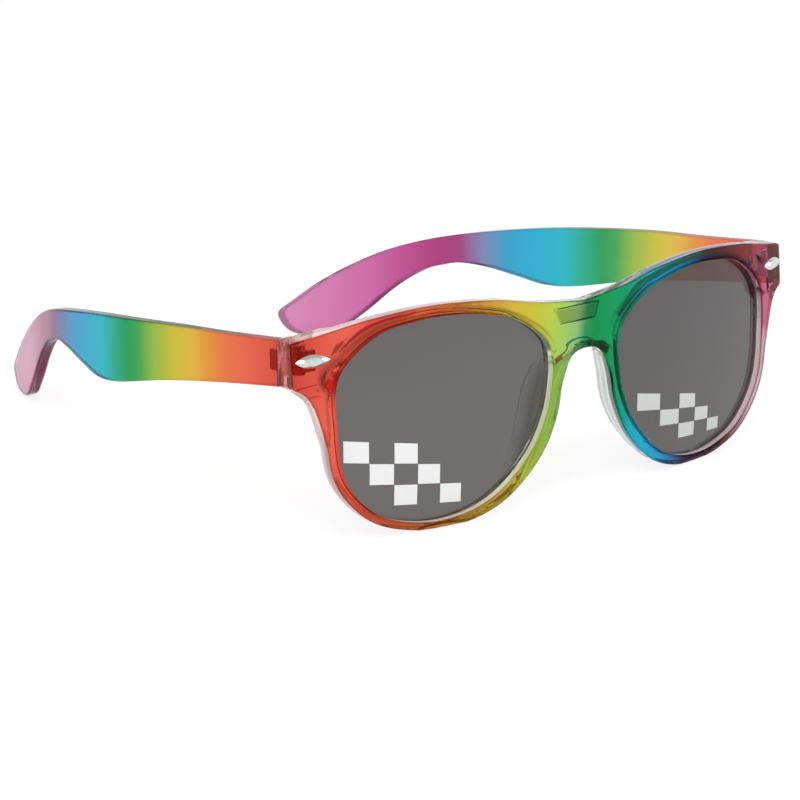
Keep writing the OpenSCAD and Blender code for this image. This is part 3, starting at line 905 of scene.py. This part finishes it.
class Temple:
    """Drawing, surfaces and paint of one temple. side is 1 for the left and -1 for the right."""

    def __init__(self, side):
        self.side = side
        self.ring, self.edge = side_ring()
        self.outer_line, self.inner_line = plan_lines()

    def reach(self, p):
        """Rounding of the long edge, small where it meets the front."""
        return CORNER + (TEMPLE_EDGE - CORNER) * smooth(1, 14, p[:, 0])

    def solid(self, p, x):
        return np.stack([self.side * x, p[:, 0] + BUTT_Y, p[:, 1]], 1)

    def from_edge(self, p):
        return distance(p, self.edge, closed=False)

    def fall(self, p):
        reach = self.reach(p)
        return fillet(reach, reach, self.from_edge(p))

    def outer(self, p):
        return self.solid(p, np.interp(p[:, 0], *self.outer_line) - self.fall(p))

    def inner(self, p):
        x = np.interp(p[:, 0], *self.inner_line) + self.fall(p)
        depth = np.maximum(sunk(p, TEMPLE_POCKET), sunk(p, KNUCKLE_SLOT))
        return self.solid(p, x + LEAF_T * depth)

    def extras(self):
        """Each surface's own points."""
        outer = edge_rows(self.ring, self.reach(self.ring), False)
        inner = np.vstack([outer, lip_rows(TEMPLE_POCKET), lip_rows(KNUCKLE_SLOT)])
        fill = filling([self.ring], *TEMPLE_NET)
        return tuple(cleaned(rows, fill, [self.ring], TEMPLE_NEAR) for rows in (outer, inner))

    def walls(self):
        """Rows between the outer and the inner surface."""
        outer, inner = self.outer(self.ring), self.inner(self.ring)
        return [[outer + s * (inner - outer) for s in (EDGE_SHARE, 0.5, 1 - EDGE_SHARE)]]

    def coat_and_shade(self, p, dyed):
        """Coat of the outer surface alone, and painted shade: a dark line beside the long edge."""
        return dyed, TEMPLE_LINE_SHADE * (1 - smooth(0, TEMPLE_LINE, self.from_edge(p)))

    def paint(self, p, share):
        """Coat and painted shade of the walls, which is lighter at the butt."""
        butt = 1 - smooth(*BUTT_STRIP, p[:, 0])
        # Painted shade darkens the walls, less at the butt
        return 1, 0, WALL_PAINTED_SHADE * (1 - BUTT_LIGHTER * butt)


def make_temple(word):
    temple = Temple(SIDES[word])
    drawn = [temple.ring], (temple.outer, temple.inner), temple.extras(), temple.walls()
    return plate(f"{word}_temple_shell", *drawn, temple.coat_and_shade, temple.paint)


# Node trees
class Nodes:
    """A node tree, and the nodes that pieces and materials are put together from."""

    def __init__(self, tree):
        self.tree = tree

    def node(self, kind, inputs=None, **settings):
        """A new node with its settings, and its inputs set or linked."""
        made = self.tree.nodes.new(kind)
        for name, value in settings.items():
            setattr(made, name, value)
        for name, value in (inputs or {}).items():
            if isinstance(value, bpy.types.NodeSocket):
                self.tree.links.new(value, made.inputs[name])
            else:
                made.inputs[name].default_value = value
        return made

    def value(self, operation, *values):
        """Result of a calculation with one to three numbers or sockets."""
        return self.node("ShaderNodeMath", dict(enumerate(values)), operation=operation).outputs[0]

    def point(self, x=0.0, y=0.0, z=0.0):
        return self.node("ShaderNodeCombineXYZ", {0: x, 1: y, 2: z}).outputs[0]

    def parts(self, point):
        """The x, y and z of a point."""
        return self.node("ShaderNodeSeparateXYZ", {0: point}).outputs

    def ranged(self, value, source=(0.0, 1.0), target=(0.0, 1.0), **settings):
        """A value brought from one range to another."""
        inputs = dict(enumerate((value, *source, *target)))
        return self.node("ShaderNodeMapRange", inputs, **settings).outputs[0]

    def mixed(self, share, a, b, blend_type="MIX"):
        """Colour mix of a and b. Each is a socket or a colour."""
        inputs = {0: share, 6: a, 7: b}
        return self.node("ShaderNodeMix", inputs, data_type="RGBA", blend_type=blend_type).outputs[2]

    def noise(self, place, scale, detail):
        inputs = {"Vector": place, "Scale": scale, "Detail": detail}
        return self.node("ShaderNodeTexNoise", inputs).outputs["Fac"]

    def stretched(self, place, scale):
        return self.node("ShaderNodeMapping", {"Vector": place, "Scale": scale}).outputs[0]


# Pieces that Geometry Nodes make
FACE_SIZES = {"Face radius": FACE_RADIUS * MM, "Apex height": APEX_Z * MM, "Middle": MID_Y * MM}


class Recipe(Nodes):
    """A Geometry Nodes tree with named sizes, in metres, that ends in one material."""

    def __init__(self, name, sizes):
        super().__init__(bpy.data.node_groups.new(name, "GeometryNodeTree"))
        self.sizes = {**FACE_SIZES, **sizes}
        self.sockets = {}
        face = self.tree.interface
        face.new_socket("Geometry", in_out="INPUT", socket_type="NodeSocketGeometry")
        for word in self.sizes:
            socket = face.new_socket(word, in_out="INPUT", socket_type="NodeSocketFloat")
            self.sockets[word] = socket.identifier
        face.new_socket("Geometry", in_out="OUTPUT", socket_type="NodeSocketGeometry")
        self.start = self.tree.nodes.new("NodeGroupInput").outputs

    def place(self):
        """The x, y and z of each point."""
        return self.parts(self.node("GeometryNodeInputPosition").outputs[0])

    def number(self):
        """The number of each point, from 0."""
        return self.node("GeometryNodeInputIndex").outputs[0]

    def line(self, count):
        """As many points as copies are needed."""
        return self.node("GeometryNodeMeshLine", {"Count": count}).outputs[0]

    def moved(self, geometry, place):
        return self.node("GeometryNodeSetPosition", {"Geometry": geometry, "Position": place}).outputs[0]

    def copies(self, spots, piece, **turn):
        """Copies of a piece on points."""
        inputs = {"Points": spots, "Instance": piece, **turn}
        return self.node("GeometryNodeInstanceOnPoints", inputs).outputs[0]

    def real(self, geometry):
        return self.node("GeometryNodeRealizeInstances", {0: geometry}).outputs[0]

    def on_face(self, x, z, depth):
        """Place on the surface at a depth inside the sphere of the front's face."""
        radius = self.start["Face radius"]
        inner = self.value("SUBTRACT", radius, depth)
        rise = self.value("SUBTRACT", z, self.start["Apex height"])
        left = self.value("SUBTRACT", self.value("MULTIPLY", inner, inner), self.value("MULTIPLY", x, x))
        left = self.value("SQRT", self.value("SUBTRACT", left, self.value("MULTIPLY", rise, rise)))
        y = self.value("SUBTRACT", self.value("SUBTRACT", radius, left), self.start["Middle"])
        return self.point(x, y, z)

    def thickened(self, sheet, thickness):
        """Closed solid between a sheet that faces forward and its copy further back."""
        inputs = {"Mesh": sheet, "Offset": self.point(y=thickness), "Individual": False}
        grown = self.node("GeometryNodeExtrudeMesh", inputs)
        both = self.node("GeometryNodeJoinGeometry")
        self.tree.links.new(self.node("GeometryNodeFlipFaces", {0: sheet}).outputs[0], both.inputs[0])
        self.tree.links.new(grown.outputs[0], both.inputs[0])
        inputs = {"Geometry": both.outputs[0], "Distance": SAME_POINT}
        return self.node("GeometryNodeMergeByDistance", inputs).outputs[0]

    def ready(self, geometry, material):
        """Ends the tree."""
        inputs = {"Geometry": self.real(geometry), "Material": material}
        dressed = self.node("GeometryNodeSetMaterial", inputs)
        end = self.tree.nodes.new("NodeGroupOutput")
        self.tree.links.new(dressed.outputs[0], end.inputs[0])

    def made(self, name, mesh, sharp=40):
        """The plain piece that the tree makes of a mesh."""
        obj = placed(name, mesh)
        modifier = obj.modifiers.new(name, "NODES")
        modifier.node_group = self.tree
        for word, value in self.sizes.items():
            modifier[self.sockets[word]] = float(value)
        graph = bpy.context.evaluated_depsgraph_get()
        result = bpy.data.meshes.new_from_object(obj.evaluated_get(graph))
        obj.modifiers.clear()
        obj.data = result
        tidy_mesh(result, sharp)
        return obj


def make_lens(word, material):
    """Curved grey lens, its edge in the groove of the rim: a flat drawing bent and thickened."""
    eye = eye_ring()
    ring = eye + ring_normals(eye) * LENS_REACH
    if word == "right":
        ring = mirrored(ring)[::-1]
    points, faces = triangles([ring], filling([ring], *LENS_NET))
    flat = np.stack([points[:, 0], 0 * points[:, 0], points[:, 1]], 1)
    name = f"{word}_lens_glass"
    recipe = Recipe(name, {"Inset": LENS_INSET * MM, "Thickness": LENS_T * MM})
    start, place = recipe.start, recipe.place()
    sheet = recipe.moved(start["Geometry"], recipe.on_face(place[0], place[2], start["Inset"]))
    recipe.ready(recipe.thickened(sheet, start["Thickness"]), material)
    return recipe.made(name, plain_mesh(name, flat, faces))


def make_squares(word, material):
    """Six white squares on a lens: two in each of three rows, each row one square further along."""
    (u, v), (width, height), (narrower, shorter), slope = SQUARES[word]
    name = f"{word}_squares"
    sizes = {
        "Left": (SIDES[word] * LENS_X + u * LENS_W) * MM,
        "Top": (LENS_Z + v * LENS_H) * MM,
        "First width": width * MM,
        "First height": height * MM,
        "Column factor": narrower,
        "Row factor": shorter,
        "Slope": slope,
        "Gap share": SQUARE_GAP,
        "Depth": (LENS_INSET - PRINT_T) * MM,
        "Film": (PRINT_T + PRINT_SEAT) * MM,
    }
    recipe = Recipe(name, sizes)
    size, value = recipe.start, recipe.value
    number = recipe.number()
    row = value("FLOOR", value("DIVIDE", number, 2.0))
    column = value("ADD", value("MULTIPLY", value("MODULO", number, 2.0), 2.0), row)
    spots = recipe.moved(recipe.line(6), recipe.point(value("ADD", column, 0.5), value("ADD", row, 0.5)))
    side = value("SUBTRACT", 1.0, size["Gap share"])
    tile = recipe.node("GeometryNodeMeshGrid", {0: side, 1: side, 2: 7, 3: 7}).outputs[0]
    tiles = recipe.real(recipe.copies(spots, tile))
    across, down = recipe.place()[:2]
    shrunk = value("SUBTRACT", 1.0, value("POWER", size["Column factor"], across))
    columns = value("DIVIDE", shrunk, value("SUBTRACT", 1.0, size["Column factor"]))
    x = value("MULTIPLY", size["First width"], columns)
    rows = value("MULTIPLY", down, size["First height"])
    fall = value("MULTIPLY", rows, value("POWER", size["Row factor"], across))
    z = value("SUBTRACT", size["Top"], value("ADD", fall, value("MULTIPLY", size["Slope"], x)))
    sheet = recipe.moved(tiles, recipe.on_face(value("ADD", size["Left"], x), z, size["Depth"]))
    recipe.ready(recipe.thickened(sheet, size["Film"]), material)
    return recipe.made(name, bpy.data.meshes.new(name))


# Rivet head from its seat to its top: share of the full oval, and height
OVAL_POINTS = 48
RIVET_LEVELS = [
    (1.0, -RIVET_SEAT), (1.0, 0.3), (0.97, 0.36), (0.62, RIVET_PROUD - 0.08), (0.56, RIVET_PROUD - 0.04),
    (0.3, RIVET_PROUD),
]  # fmt: skip


def oval_ring(share):
    """Pointed oval of the rivet head, drawn in to a share of its size, its long axis along x."""
    length, height = RIVET_L / 2, RIVET_H / 2
    radius = (length**2 + height**2) / (2 * height)
    x = np.linspace(-length, length, OVAL_POINTS // 2 + 1)
    z = np.sqrt(radius**2 - x**2) - radius + height
    ring = np.vstack([np.stack([x, -z], 1), np.stack([x, z], 1)[-2:0:-1]])
    return ring * share


def rivet_head():
    """Flat foot, a bevel all round and a nearly flat top."""
    rows = [np.column_stack([oval_ring(share), np.full(OVAL_POINTS, z)]) for share, z in RIVET_LEVELS]
    points = np.vstack(rows + [[[0, 0, -RIVET_SEAT], [0, 0, RIVET_PROUD]]])
    rings = [np.arange(OVAL_POINTS) + OVAL_POINTS * k for k in range(len(rows))]
    faces = [face for low, high in zip(rings, rings[1:]) for face in band(low, high)]
    foot, top = len(points) - 2, len(points) - 1
    faces += [(b, a, foot) for a, b in zip(rings[0], np.roll(rings[0], -1))]
    faces += [(a, b, top) for a, b in zip(rings[-1], np.roll(rings[-1], -1))]
    return plain_mesh("rivet_head", points, faces)


def make_rivets(material):
    """Both rivets: one head placed twice, square to the face of the front."""
    x, z = HALF_W - RIVET_EDGE - RIVET_L / 2, HINGE_Z + RIVET_RISE
    recipe = Recipe("rivets", {"Across": x * MM, "Height": z * MM})
    size, value = recipe.start, recipe.value
    side = value("SUBTRACT", value("MULTIPLY", recipe.number(), 2.0), 1.0)
    across = value("MULTIPLY", side, size["Across"])
    spots = recipe.moved(recipe.line(2), recipe.on_face(across, size["Height"], 0.0))
    turn = value("ARCSINE", value("DIVIDE", across, size["Face radius"]))
    rise = value("SUBTRACT", size["Height"], size["Apex height"])
    tilt = value("SUBTRACT", math.pi / 2, value("ARCSINE", value("DIVIDE", rise, size["Face radius"])))
    heads = recipe.copies(spots, size["Geometry"], Rotation=recipe.point(tilt, z=turn))
    recipe.ready(heads, material)
    return recipe.made("rivets", rivet_head(), sharp=15)


# Colour bands: millimetres along the front from its middle, or along a temple from its butt, and 8-bit
# colours. The front's bands lean by BAND_SLANT.
FRONT_BANDS = [
    (-72, (208, 74, 60)), (-62, (240, 106, 88)), (-56, (226, 92, 70)), (-50, (226, 98, 70)),
    (-42, (222, 112, 64)), (-36, (214, 128, 62)), (-28, (214, 152, 60)), (-21, (216, 184, 64)),
    (-15, (204, 198, 62)), (-10, (186, 208, 84)), (-6, (166, 206, 104)), (-2.5, (148, 194, 128)),
    (0, (46, 152, 92)), (3, (8, 148, 80)), (8, (5, 158, 93)), (12, (3, 156, 108)), (16, (5, 166, 148)),
    (19, (5, 178, 202)), (24, (8, 176, 212)), (31, (20, 160, 206)), (36, (46, 112, 166)),
    (40, (66, 58, 110)), (44, (90, 42, 82)), (51, (128, 56, 90)), (57, (150, 68, 102)),
    (61, (190, 96, 138)), (66, (196, 92, 134)), (72, (196, 84, 114)),
]  # fmt: skip
BAND_SLANT = 0.2
TEMPLE_BANDS = [
    (0, (218, 84, 66)), (9, (231, 104, 78)), (16, (231, 120, 74)), (22, (230, 146, 58)),
    (29, (222, 186, 70)), (35, (204, 192, 54)), (43, (150, 186, 66)), (49, (60, 166, 78)),
    (54, (4, 158, 84)), (60, (4, 172, 138)), (66, (3, 184, 196)), (76, (6, 172, 210)),
]  # fmt: skip
EAR_BANDS = {
    "left": [
        (84, (44, 158, 200)), (91, (128, 128, 178)), (97, (160, 54, 124)), (104, (172, 44, 122)),
        (113, (192, 70, 146)), (124, (206, 104, 168)), (147, (214, 136, 180)),
    ],
    "right": [
        (84, (18, 156, 204)), (91, (84, 120, 180)), (95, (114, 92, 160)), (100, (140, 58, 122)),
        (110, (166, 78, 128)), (118, (190, 116, 152)), (126, (206, 144, 176)), (147, (206, 146, 176)),
    ],
}  # fmt: skip

# Plastic: colours without dye, streaks of the walls, the painted shade of the edges, and how strongly
# light bends in it
CLEAR_TINT = (0.95, 0.955, 0.945, 1)
WALL_SHADE = (0.55, 0.52, 0.5, 1)
WALL_CREAM = (0.99, 0.96, 0.9, 1)
PAINTED_EDGE_SHADE = (0.16, 0.12, 0.11, 1)
PAINTED_SHADE_STRENGTH = 0.95
DIM_GLOSS = (0.1, 0.1, 0.1, 1)
STREAKS = (30.0, 4.0, 1.0)
FRONT_BEND = 1.36
TEMPLE_BEND = 1.2
EDGE_BEND = 1.08

# 8-bit colours. At the low and the high end the lenses have one for the wearer's right and one for the
# left; painted shade makes them darker at the high end, under the brow, and on the left. The film has
# two on the right, between which its grain lies, and one on the left, which is painted shade.
LENS_LOW = (105, 102, 100), (90, 88, 86)
LENS_TOP_SHADED = (96, 93, 92), (83, 80, 80)
FILM_NEAR = (236, 238, 238), (248, 249, 248)
FILM_FAR_SHADED = (208, 213, 208)


# Materials
def linear(r, g, b):
    """Colour of three 8-bit values."""
    shares = [c / 255 for c in (r, g, b)]
    return tuple(((s + 0.055) / 1.055) ** 2.4 if s > 0.04 else s / 12.92 for s in shares) + (1.0,)


class Finish(Nodes):
    """A material and its nodes."""

    def __init__(self, name):
        self.material = bpy.data.materials.new(name)
        self.material.use_nodes = True
        super().__init__(self.material.node_tree)
        self.tree.nodes.clear()

    def place(self):
        return self.node("ShaderNodeTexCoord").outputs["Object"]

    def attribute(self, name):
        """A value that was painted on the mesh's points."""
        return self.node("ShaderNodeAttribute", attribute_name=name).outputs["Fac"]

    def bump(self, height, strength, distance):
        inputs = {"Height": height, "Strength": strength, "Distance": distance}
        return self.node("ShaderNodeBump", inputs).outputs[0]

    def body(self, inputs):
        return self.node("ShaderNodeBsdfPrincipled", inputs).outputs[0]

    def left_share(self, place):
        """0 on the wearer's right side and 1 on the left, with a soft step between."""
        return self.ranged(self.parts(place)["X"], (-0.005, 0.005), interpolation_type="SMOOTHSTEP")

    def bands(self, along, stops):
        """Colour bands along one axis: stops are (millimetres in the part's frame, 8-bit colour)."""
        low, high = stops[0][0] * MM, stops[-1][0] * MM
        ramp = self.node("ShaderNodeValToRGB", {0: self.ranged(along, (low, high))})
        elements = ramp.color_ramp.elements
        while len(elements) < len(stops):
            elements.new(0.5)
        for element, (at, _) in zip(elements, stops):
            element.position = (at * MM - low) / (high - low)
        for element, (_, colour) in zip(elements, stops):
            element.color = linear(*colour)
        return ramp.outputs[0]

    def ended(self, shader):
        self.node("ShaderNodeOutputMaterial", {"Surface": shader})
        return self.material

    def ended_clear(self, body, colour):
        """Ends a see-through material, so that its shadow is a tinted light one."""
        path = self.node("ShaderNodeLightPath").outputs
        film = self.node("ShaderNodeBsdfTransparent", {"Color": colour}).outputs[0]
        inputs = {0: path["Is Shadow Ray"], 1: body, 2: film}
        return self.ended(self.node("ShaderNodeMixShader", inputs).outputs[0])


def clear_plastic(name, axis, stops, bend, slant=0.0):
    """Clear moulded plastic with a see-through coloured coat in bands, and paler, less clear walls,
    darkened by painted shade where the edge value is high.
    """
    finish = Finish(name)
    place = finish.place()
    parts = finish.parts(place)
    along = parts[axis]
    below = finish.value("SUBTRACT", HINGE_Z * MM, parts["Z"])
    dye = finish.bands(finish.value("MULTIPLY_ADD", below, slant, along), stops)
    coat, wall, edge, across = (finish.attribute(word) for word in ("coat", "wall", "edge", "across"))
    surface = finish.mixed(coat, CLEAR_TINT, finish.mixed(1.0, dye, dye, "MULTIPLY"))
    streak = finish.noise(finish.stretched(finish.point(along, across), STREAKS), 1.0, 1.0)
    shade = finish.mixed(finish.ranged(coat, target=(0.5, 0.1)), dye, WALL_SHADE)
    cream = finish.mixed(finish.ranged(coat, target=(0.7, 0.15)), dye, WALL_CREAM)
    colour = finish.mixed(wall, surface, finish.mixed(finish.ranged(streak, (0.38, 0.56)), shade, cream))
    # Painted shade: the edge value darkens the colour along the edges, in the recess and on the lower
    # rim
    line = finish.value("MULTIPLY", edge, PAINTED_SHADE_STRENGTH)
    colour = finish.mixed(line, colour, PAINTED_EDGE_SHADE, "MULTIPLY")
    body = {
        "Base Color": colour,
        "Roughness": finish.ranged(finish.noise(place, 160.0, 3.0), target=(0.015, 0.06)),
        "IOR": finish.ranged(edge, target=(bend, EDGE_BEND)),
        "Transmission Weight": finish.ranged(wall, target=(0.96, 0.6)),
        "Specular Tint": DIM_GLOSS,
        "Normal": finish.bump(finish.noise(place, 90.0, 1.0), 0.02, 0.0006),
    }
    return finish.ended_clear(finish.body(body), colour)


def temple_plastic(word):
    """Plastic of one temple. The colours of the ear ends differ a little from side to side."""
    stops = [(at + BUTT_Y - MID_Y, colour) for at, colour in TEMPLE_BANDS + EAR_BANDS[word]]
    return clear_plastic(f"{word}_temple_plastic", "Y", stops, TEMPLE_BEND)


def lens_grey():
    """Dark neutral grey lens with a faint unevenness of gloss, and painted shade that makes it darker
    towards the top and on the wearer's left.
    """
    finish = Finish("lens_grey")
    place = finish.place()
    side = finish.left_share(place)
    # Painted shade: darker towards the top and on the wearer's left
    low, high = (finish.mixed(side, linear(*a), linear(*b)) for a, b in (LENS_LOW, LENS_TOP_SHADED))
    colour = finish.mixed(finish.ranged(finish.parts(place)["Z"], (0.0, BROW_Z * MM)), low, high)
    body = {
        "Base Color": colour,
        "Roughness": finish.ranged(finish.noise(place, 120.0, 2.0), target=(0.01, 0.04)),
        "IOR": 1.49,
        "Transmission Weight": 0.96,
    }
    return finish.ended_clear(finish.body(body), colour)


def white_film():
    """Matt white printed film, with painted shade that makes it a little darker on the wearer's left."""
    finish = Finish("white_film")
    place = finish.place()
    grain = finish.noise(place, 2500.0, 2.0)
    near = finish.mixed(grain, *(linear(*colour) for colour in FILM_NEAR))
    # Painted shade: the squares on the wearer's left are darker
    colour = finish.mixed(finish.left_share(place), near, linear(*FILM_FAR_SHADED))
    gloss = finish.ranged(grain, target=(0.35, 0.5))
    return finish.ended(finish.body({"Base Color": colour, "Roughness": gloss}))


def metal(name, dark, light, rough, scale, stretch):
    """Plated metal with fine lines from tumbling or turning."""
    finish = Finish(name)
    lines = finish.noise(finish.stretched(finish.place(), stretch), scale, 4.0)
    body = {
        "Base Color": finish.mixed(lines, linear(*dark), linear(*light)),
        "Metallic": 1.0,
        "Roughness": finish.ranged(lines, target=rough),
        "Normal": finish.bump(lines, 0.12, 0.0001),
    }
    return finish.ended(finish.body(body))


# Studio, in metres. A lamp has its place, its width and its power.
LAMPS = {"key": ((-0.9, -0.7, 1.2), 0.9, 9.0), "fill": ((1.0, -0.8, 0.7), 0.8, 4.0)}
LAMP_AIM = (0, 0, 0.02)
CAMERA_PLACE = (-0.41596, -0.43414 - MID_Y * MM, 0.18652)
CAMERA_WAY = (0.618386, 0.739935, -0.264753)
CAMERA_UP = (0.175806, 0.198101, 0.964286)
CAMERA_LENS = 128.99
WHITE = (1, 1, 1, 1)
AMBIENT = (0.72, 0.72, 0.72, 1)
CEILING = (0.6, 0.6, 0.6, 1)
FLOOR = (0.8, 0.8, 0.8, 1)
FLOOR_SEEN = (0.24, 0.24, 0.24, 1)
FLOOR_GLOW = 0.8
FLOOR_HALF = 4.0
FLOOR_Z = -0.0002


def seen_directly(nodes):
    """1 for rays that come from the camera, a mirror or through glass."""
    path = nodes.node("ShaderNodeLightPath").outputs
    first = nodes.value("MAXIMUM", path["Is Camera Ray"], path["Is Glossy Ray"])
    return nodes.value("MAXIMUM", first, path["Is Transmission Ray"])


def make_world():
    """Even light all round, with a slightly darker ceiling in reflections."""
    world = bpy.data.worlds.new("studio")
    world.use_nodes = True
    nodes = Nodes(world.node_tree)
    nodes.tree.nodes.clear()
    path = nodes.node("ShaderNodeLightPath").outputs
    up = nodes.parts(nodes.node("ShaderNodeTexCoord").outputs["Generated"])[2]
    ceiling = nodes.ranged(up, (0.5, 0.8), interpolation_type="SMOOTHSTEP")
    seen = nodes.mixed(path["Is Camera Ray"], nodes.mixed(ceiling, WHITE, CEILING), WHITE)
    colour = nodes.mixed(seen_directly(nodes), AMBIENT, seen)
    light = nodes.node("ShaderNodeBackground", {"Color": colour, "Strength": 1.0})
    nodes.node("ShaderNodeOutputWorld", {"Surface": light.outputs[0]})
    bpy.context.scene.world = world


def make_floor():
    """Wide pale floor that is white to the camera and keeps a faint shadow."""
    finish = Finish("studio_floor")
    seen = seen_directly(finish)
    matt = finish.node("ShaderNodeBsdfDiffuse", {"Color": finish.mixed(seen, FLOOR, FLOOR_SEEN)})
    level = finish.value("MULTIPLY", seen, FLOOR_GLOW)
    glow = finish.node("ShaderNodeEmission", {"Color": WHITE, "Strength": level})
    both = finish.node("ShaderNodeAddShader", {0: matt.outputs[0], 1: glow.outputs[0]})
    finish.ended(both.outputs[0])
    mesh = bpy.data.meshes.new("studio_floor")
    corners = rectangle(-FLOOR_HALF, FLOOR_HALF, -FLOOR_HALF, FLOOR_HALF)
    mesh.from_pydata([(x, y, FLOOR_Z) for x, y in corners], [], [(0, 1, 2, 3)])
    floor = placed("studio_floor", mesh)
    floor.data.materials.append(finish.material)


def looking(place, forward, up):
    """Matrix of a lamp or camera at a place, looking forward."""
    forward = np.array(forward) / np.linalg.norm(forward)
    right = np.cross(forward, up)
    right /= np.linalg.norm(right)
    up = np.cross(right, forward)
    rows = [[right[k], up[k], -forward[k], place[k]] for k in range(3)]
    return Matrix(rows + [[0, 0, 0, 1]])


def make_lamps():
    for name, (place, width, power) in LAMPS.items():
        data = bpy.data.lights.new(name, "AREA")
        data.shape = "DISK"
        data.size = width
        data.energy = power
        lamp = placed(name, data)
        lamp.matrix_world = looking(place, np.array(LAMP_AIM) - np.array(place), (0, 0, 1))


def make_camera():
    """Camera in front, to the wearer's right and a little above."""
    data = bpy.data.cameras.new("camera")
    data.sensor_width = 36
    data.lens = CAMERA_LENS
    data.clip_start = 0.01
    camera = placed("camera", data)
    camera.matrix_world = looking(CAMERA_PLACE, CAMERA_WAY, CAMERA_UP)
    bpy.context.scene.camera = camera


# The sunglasses
def dress(obj, body, material, nodes):
    """Gives a piece its material, body and slot, and hides the CAD nodes that it stands for."""
    obj.data.materials.clear()
    obj.data.materials.append(material)
    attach(obj, body)
    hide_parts(*nodes)


def cover(nodes, material):
    """Gives CAD nodes a material."""
    for name in nodes:
        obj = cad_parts[name]
        if not obj.material_slots:
            obj.data.materials.append(material)
        for slot in obj.material_slots:
            slot.material = material


front_plastic = clear_plastic("front_plastic", "X", FRONT_BANDS, FRONT_BEND, BAND_SLANT)
grey = lens_grey()
film = white_film()
nickel = metal("nickel_plate", (206, 203, 196), (232, 229, 222), (0.3, 0.45), 900.0, (1, 4, 1))
bright = metal("bright_screw", (178, 177, 172), (214, 213, 208), (0.15, 0.3), 1200.0, (1, 1, 6))
polished = metal("polished_rivet", (196, 198, 194), (226, 228, 224), (0.06, 0.16), 700.0, (4, 1, 1))

dress(make_front(), "front", front_plastic, ["front_frame"])
for word in SIDES:
    dress(make_lens(word, grey), "front", grey, [f"{word}_lens"])
    dress(make_temple(word), f"{word}_arm", temple_plastic(word), [f"{word}_temple"])
    cover([f"{word}_front_hinge_leaf", f"{word}_temple_hinge_leaf"], nickel)
    cover([f"{word}_hinge_screw"], bright)
dress(make_rivets(polished), "front", polished, ["left_rivet", "right_rivet"])
for word in SIDES:
    dress(make_squares(word, film), "front", film, [f"{word}_lens_print"])

make_world()
make_floor()
make_lamps()
make_camera()
bpy.context.scene.view_settings.view_transform = "Standard"
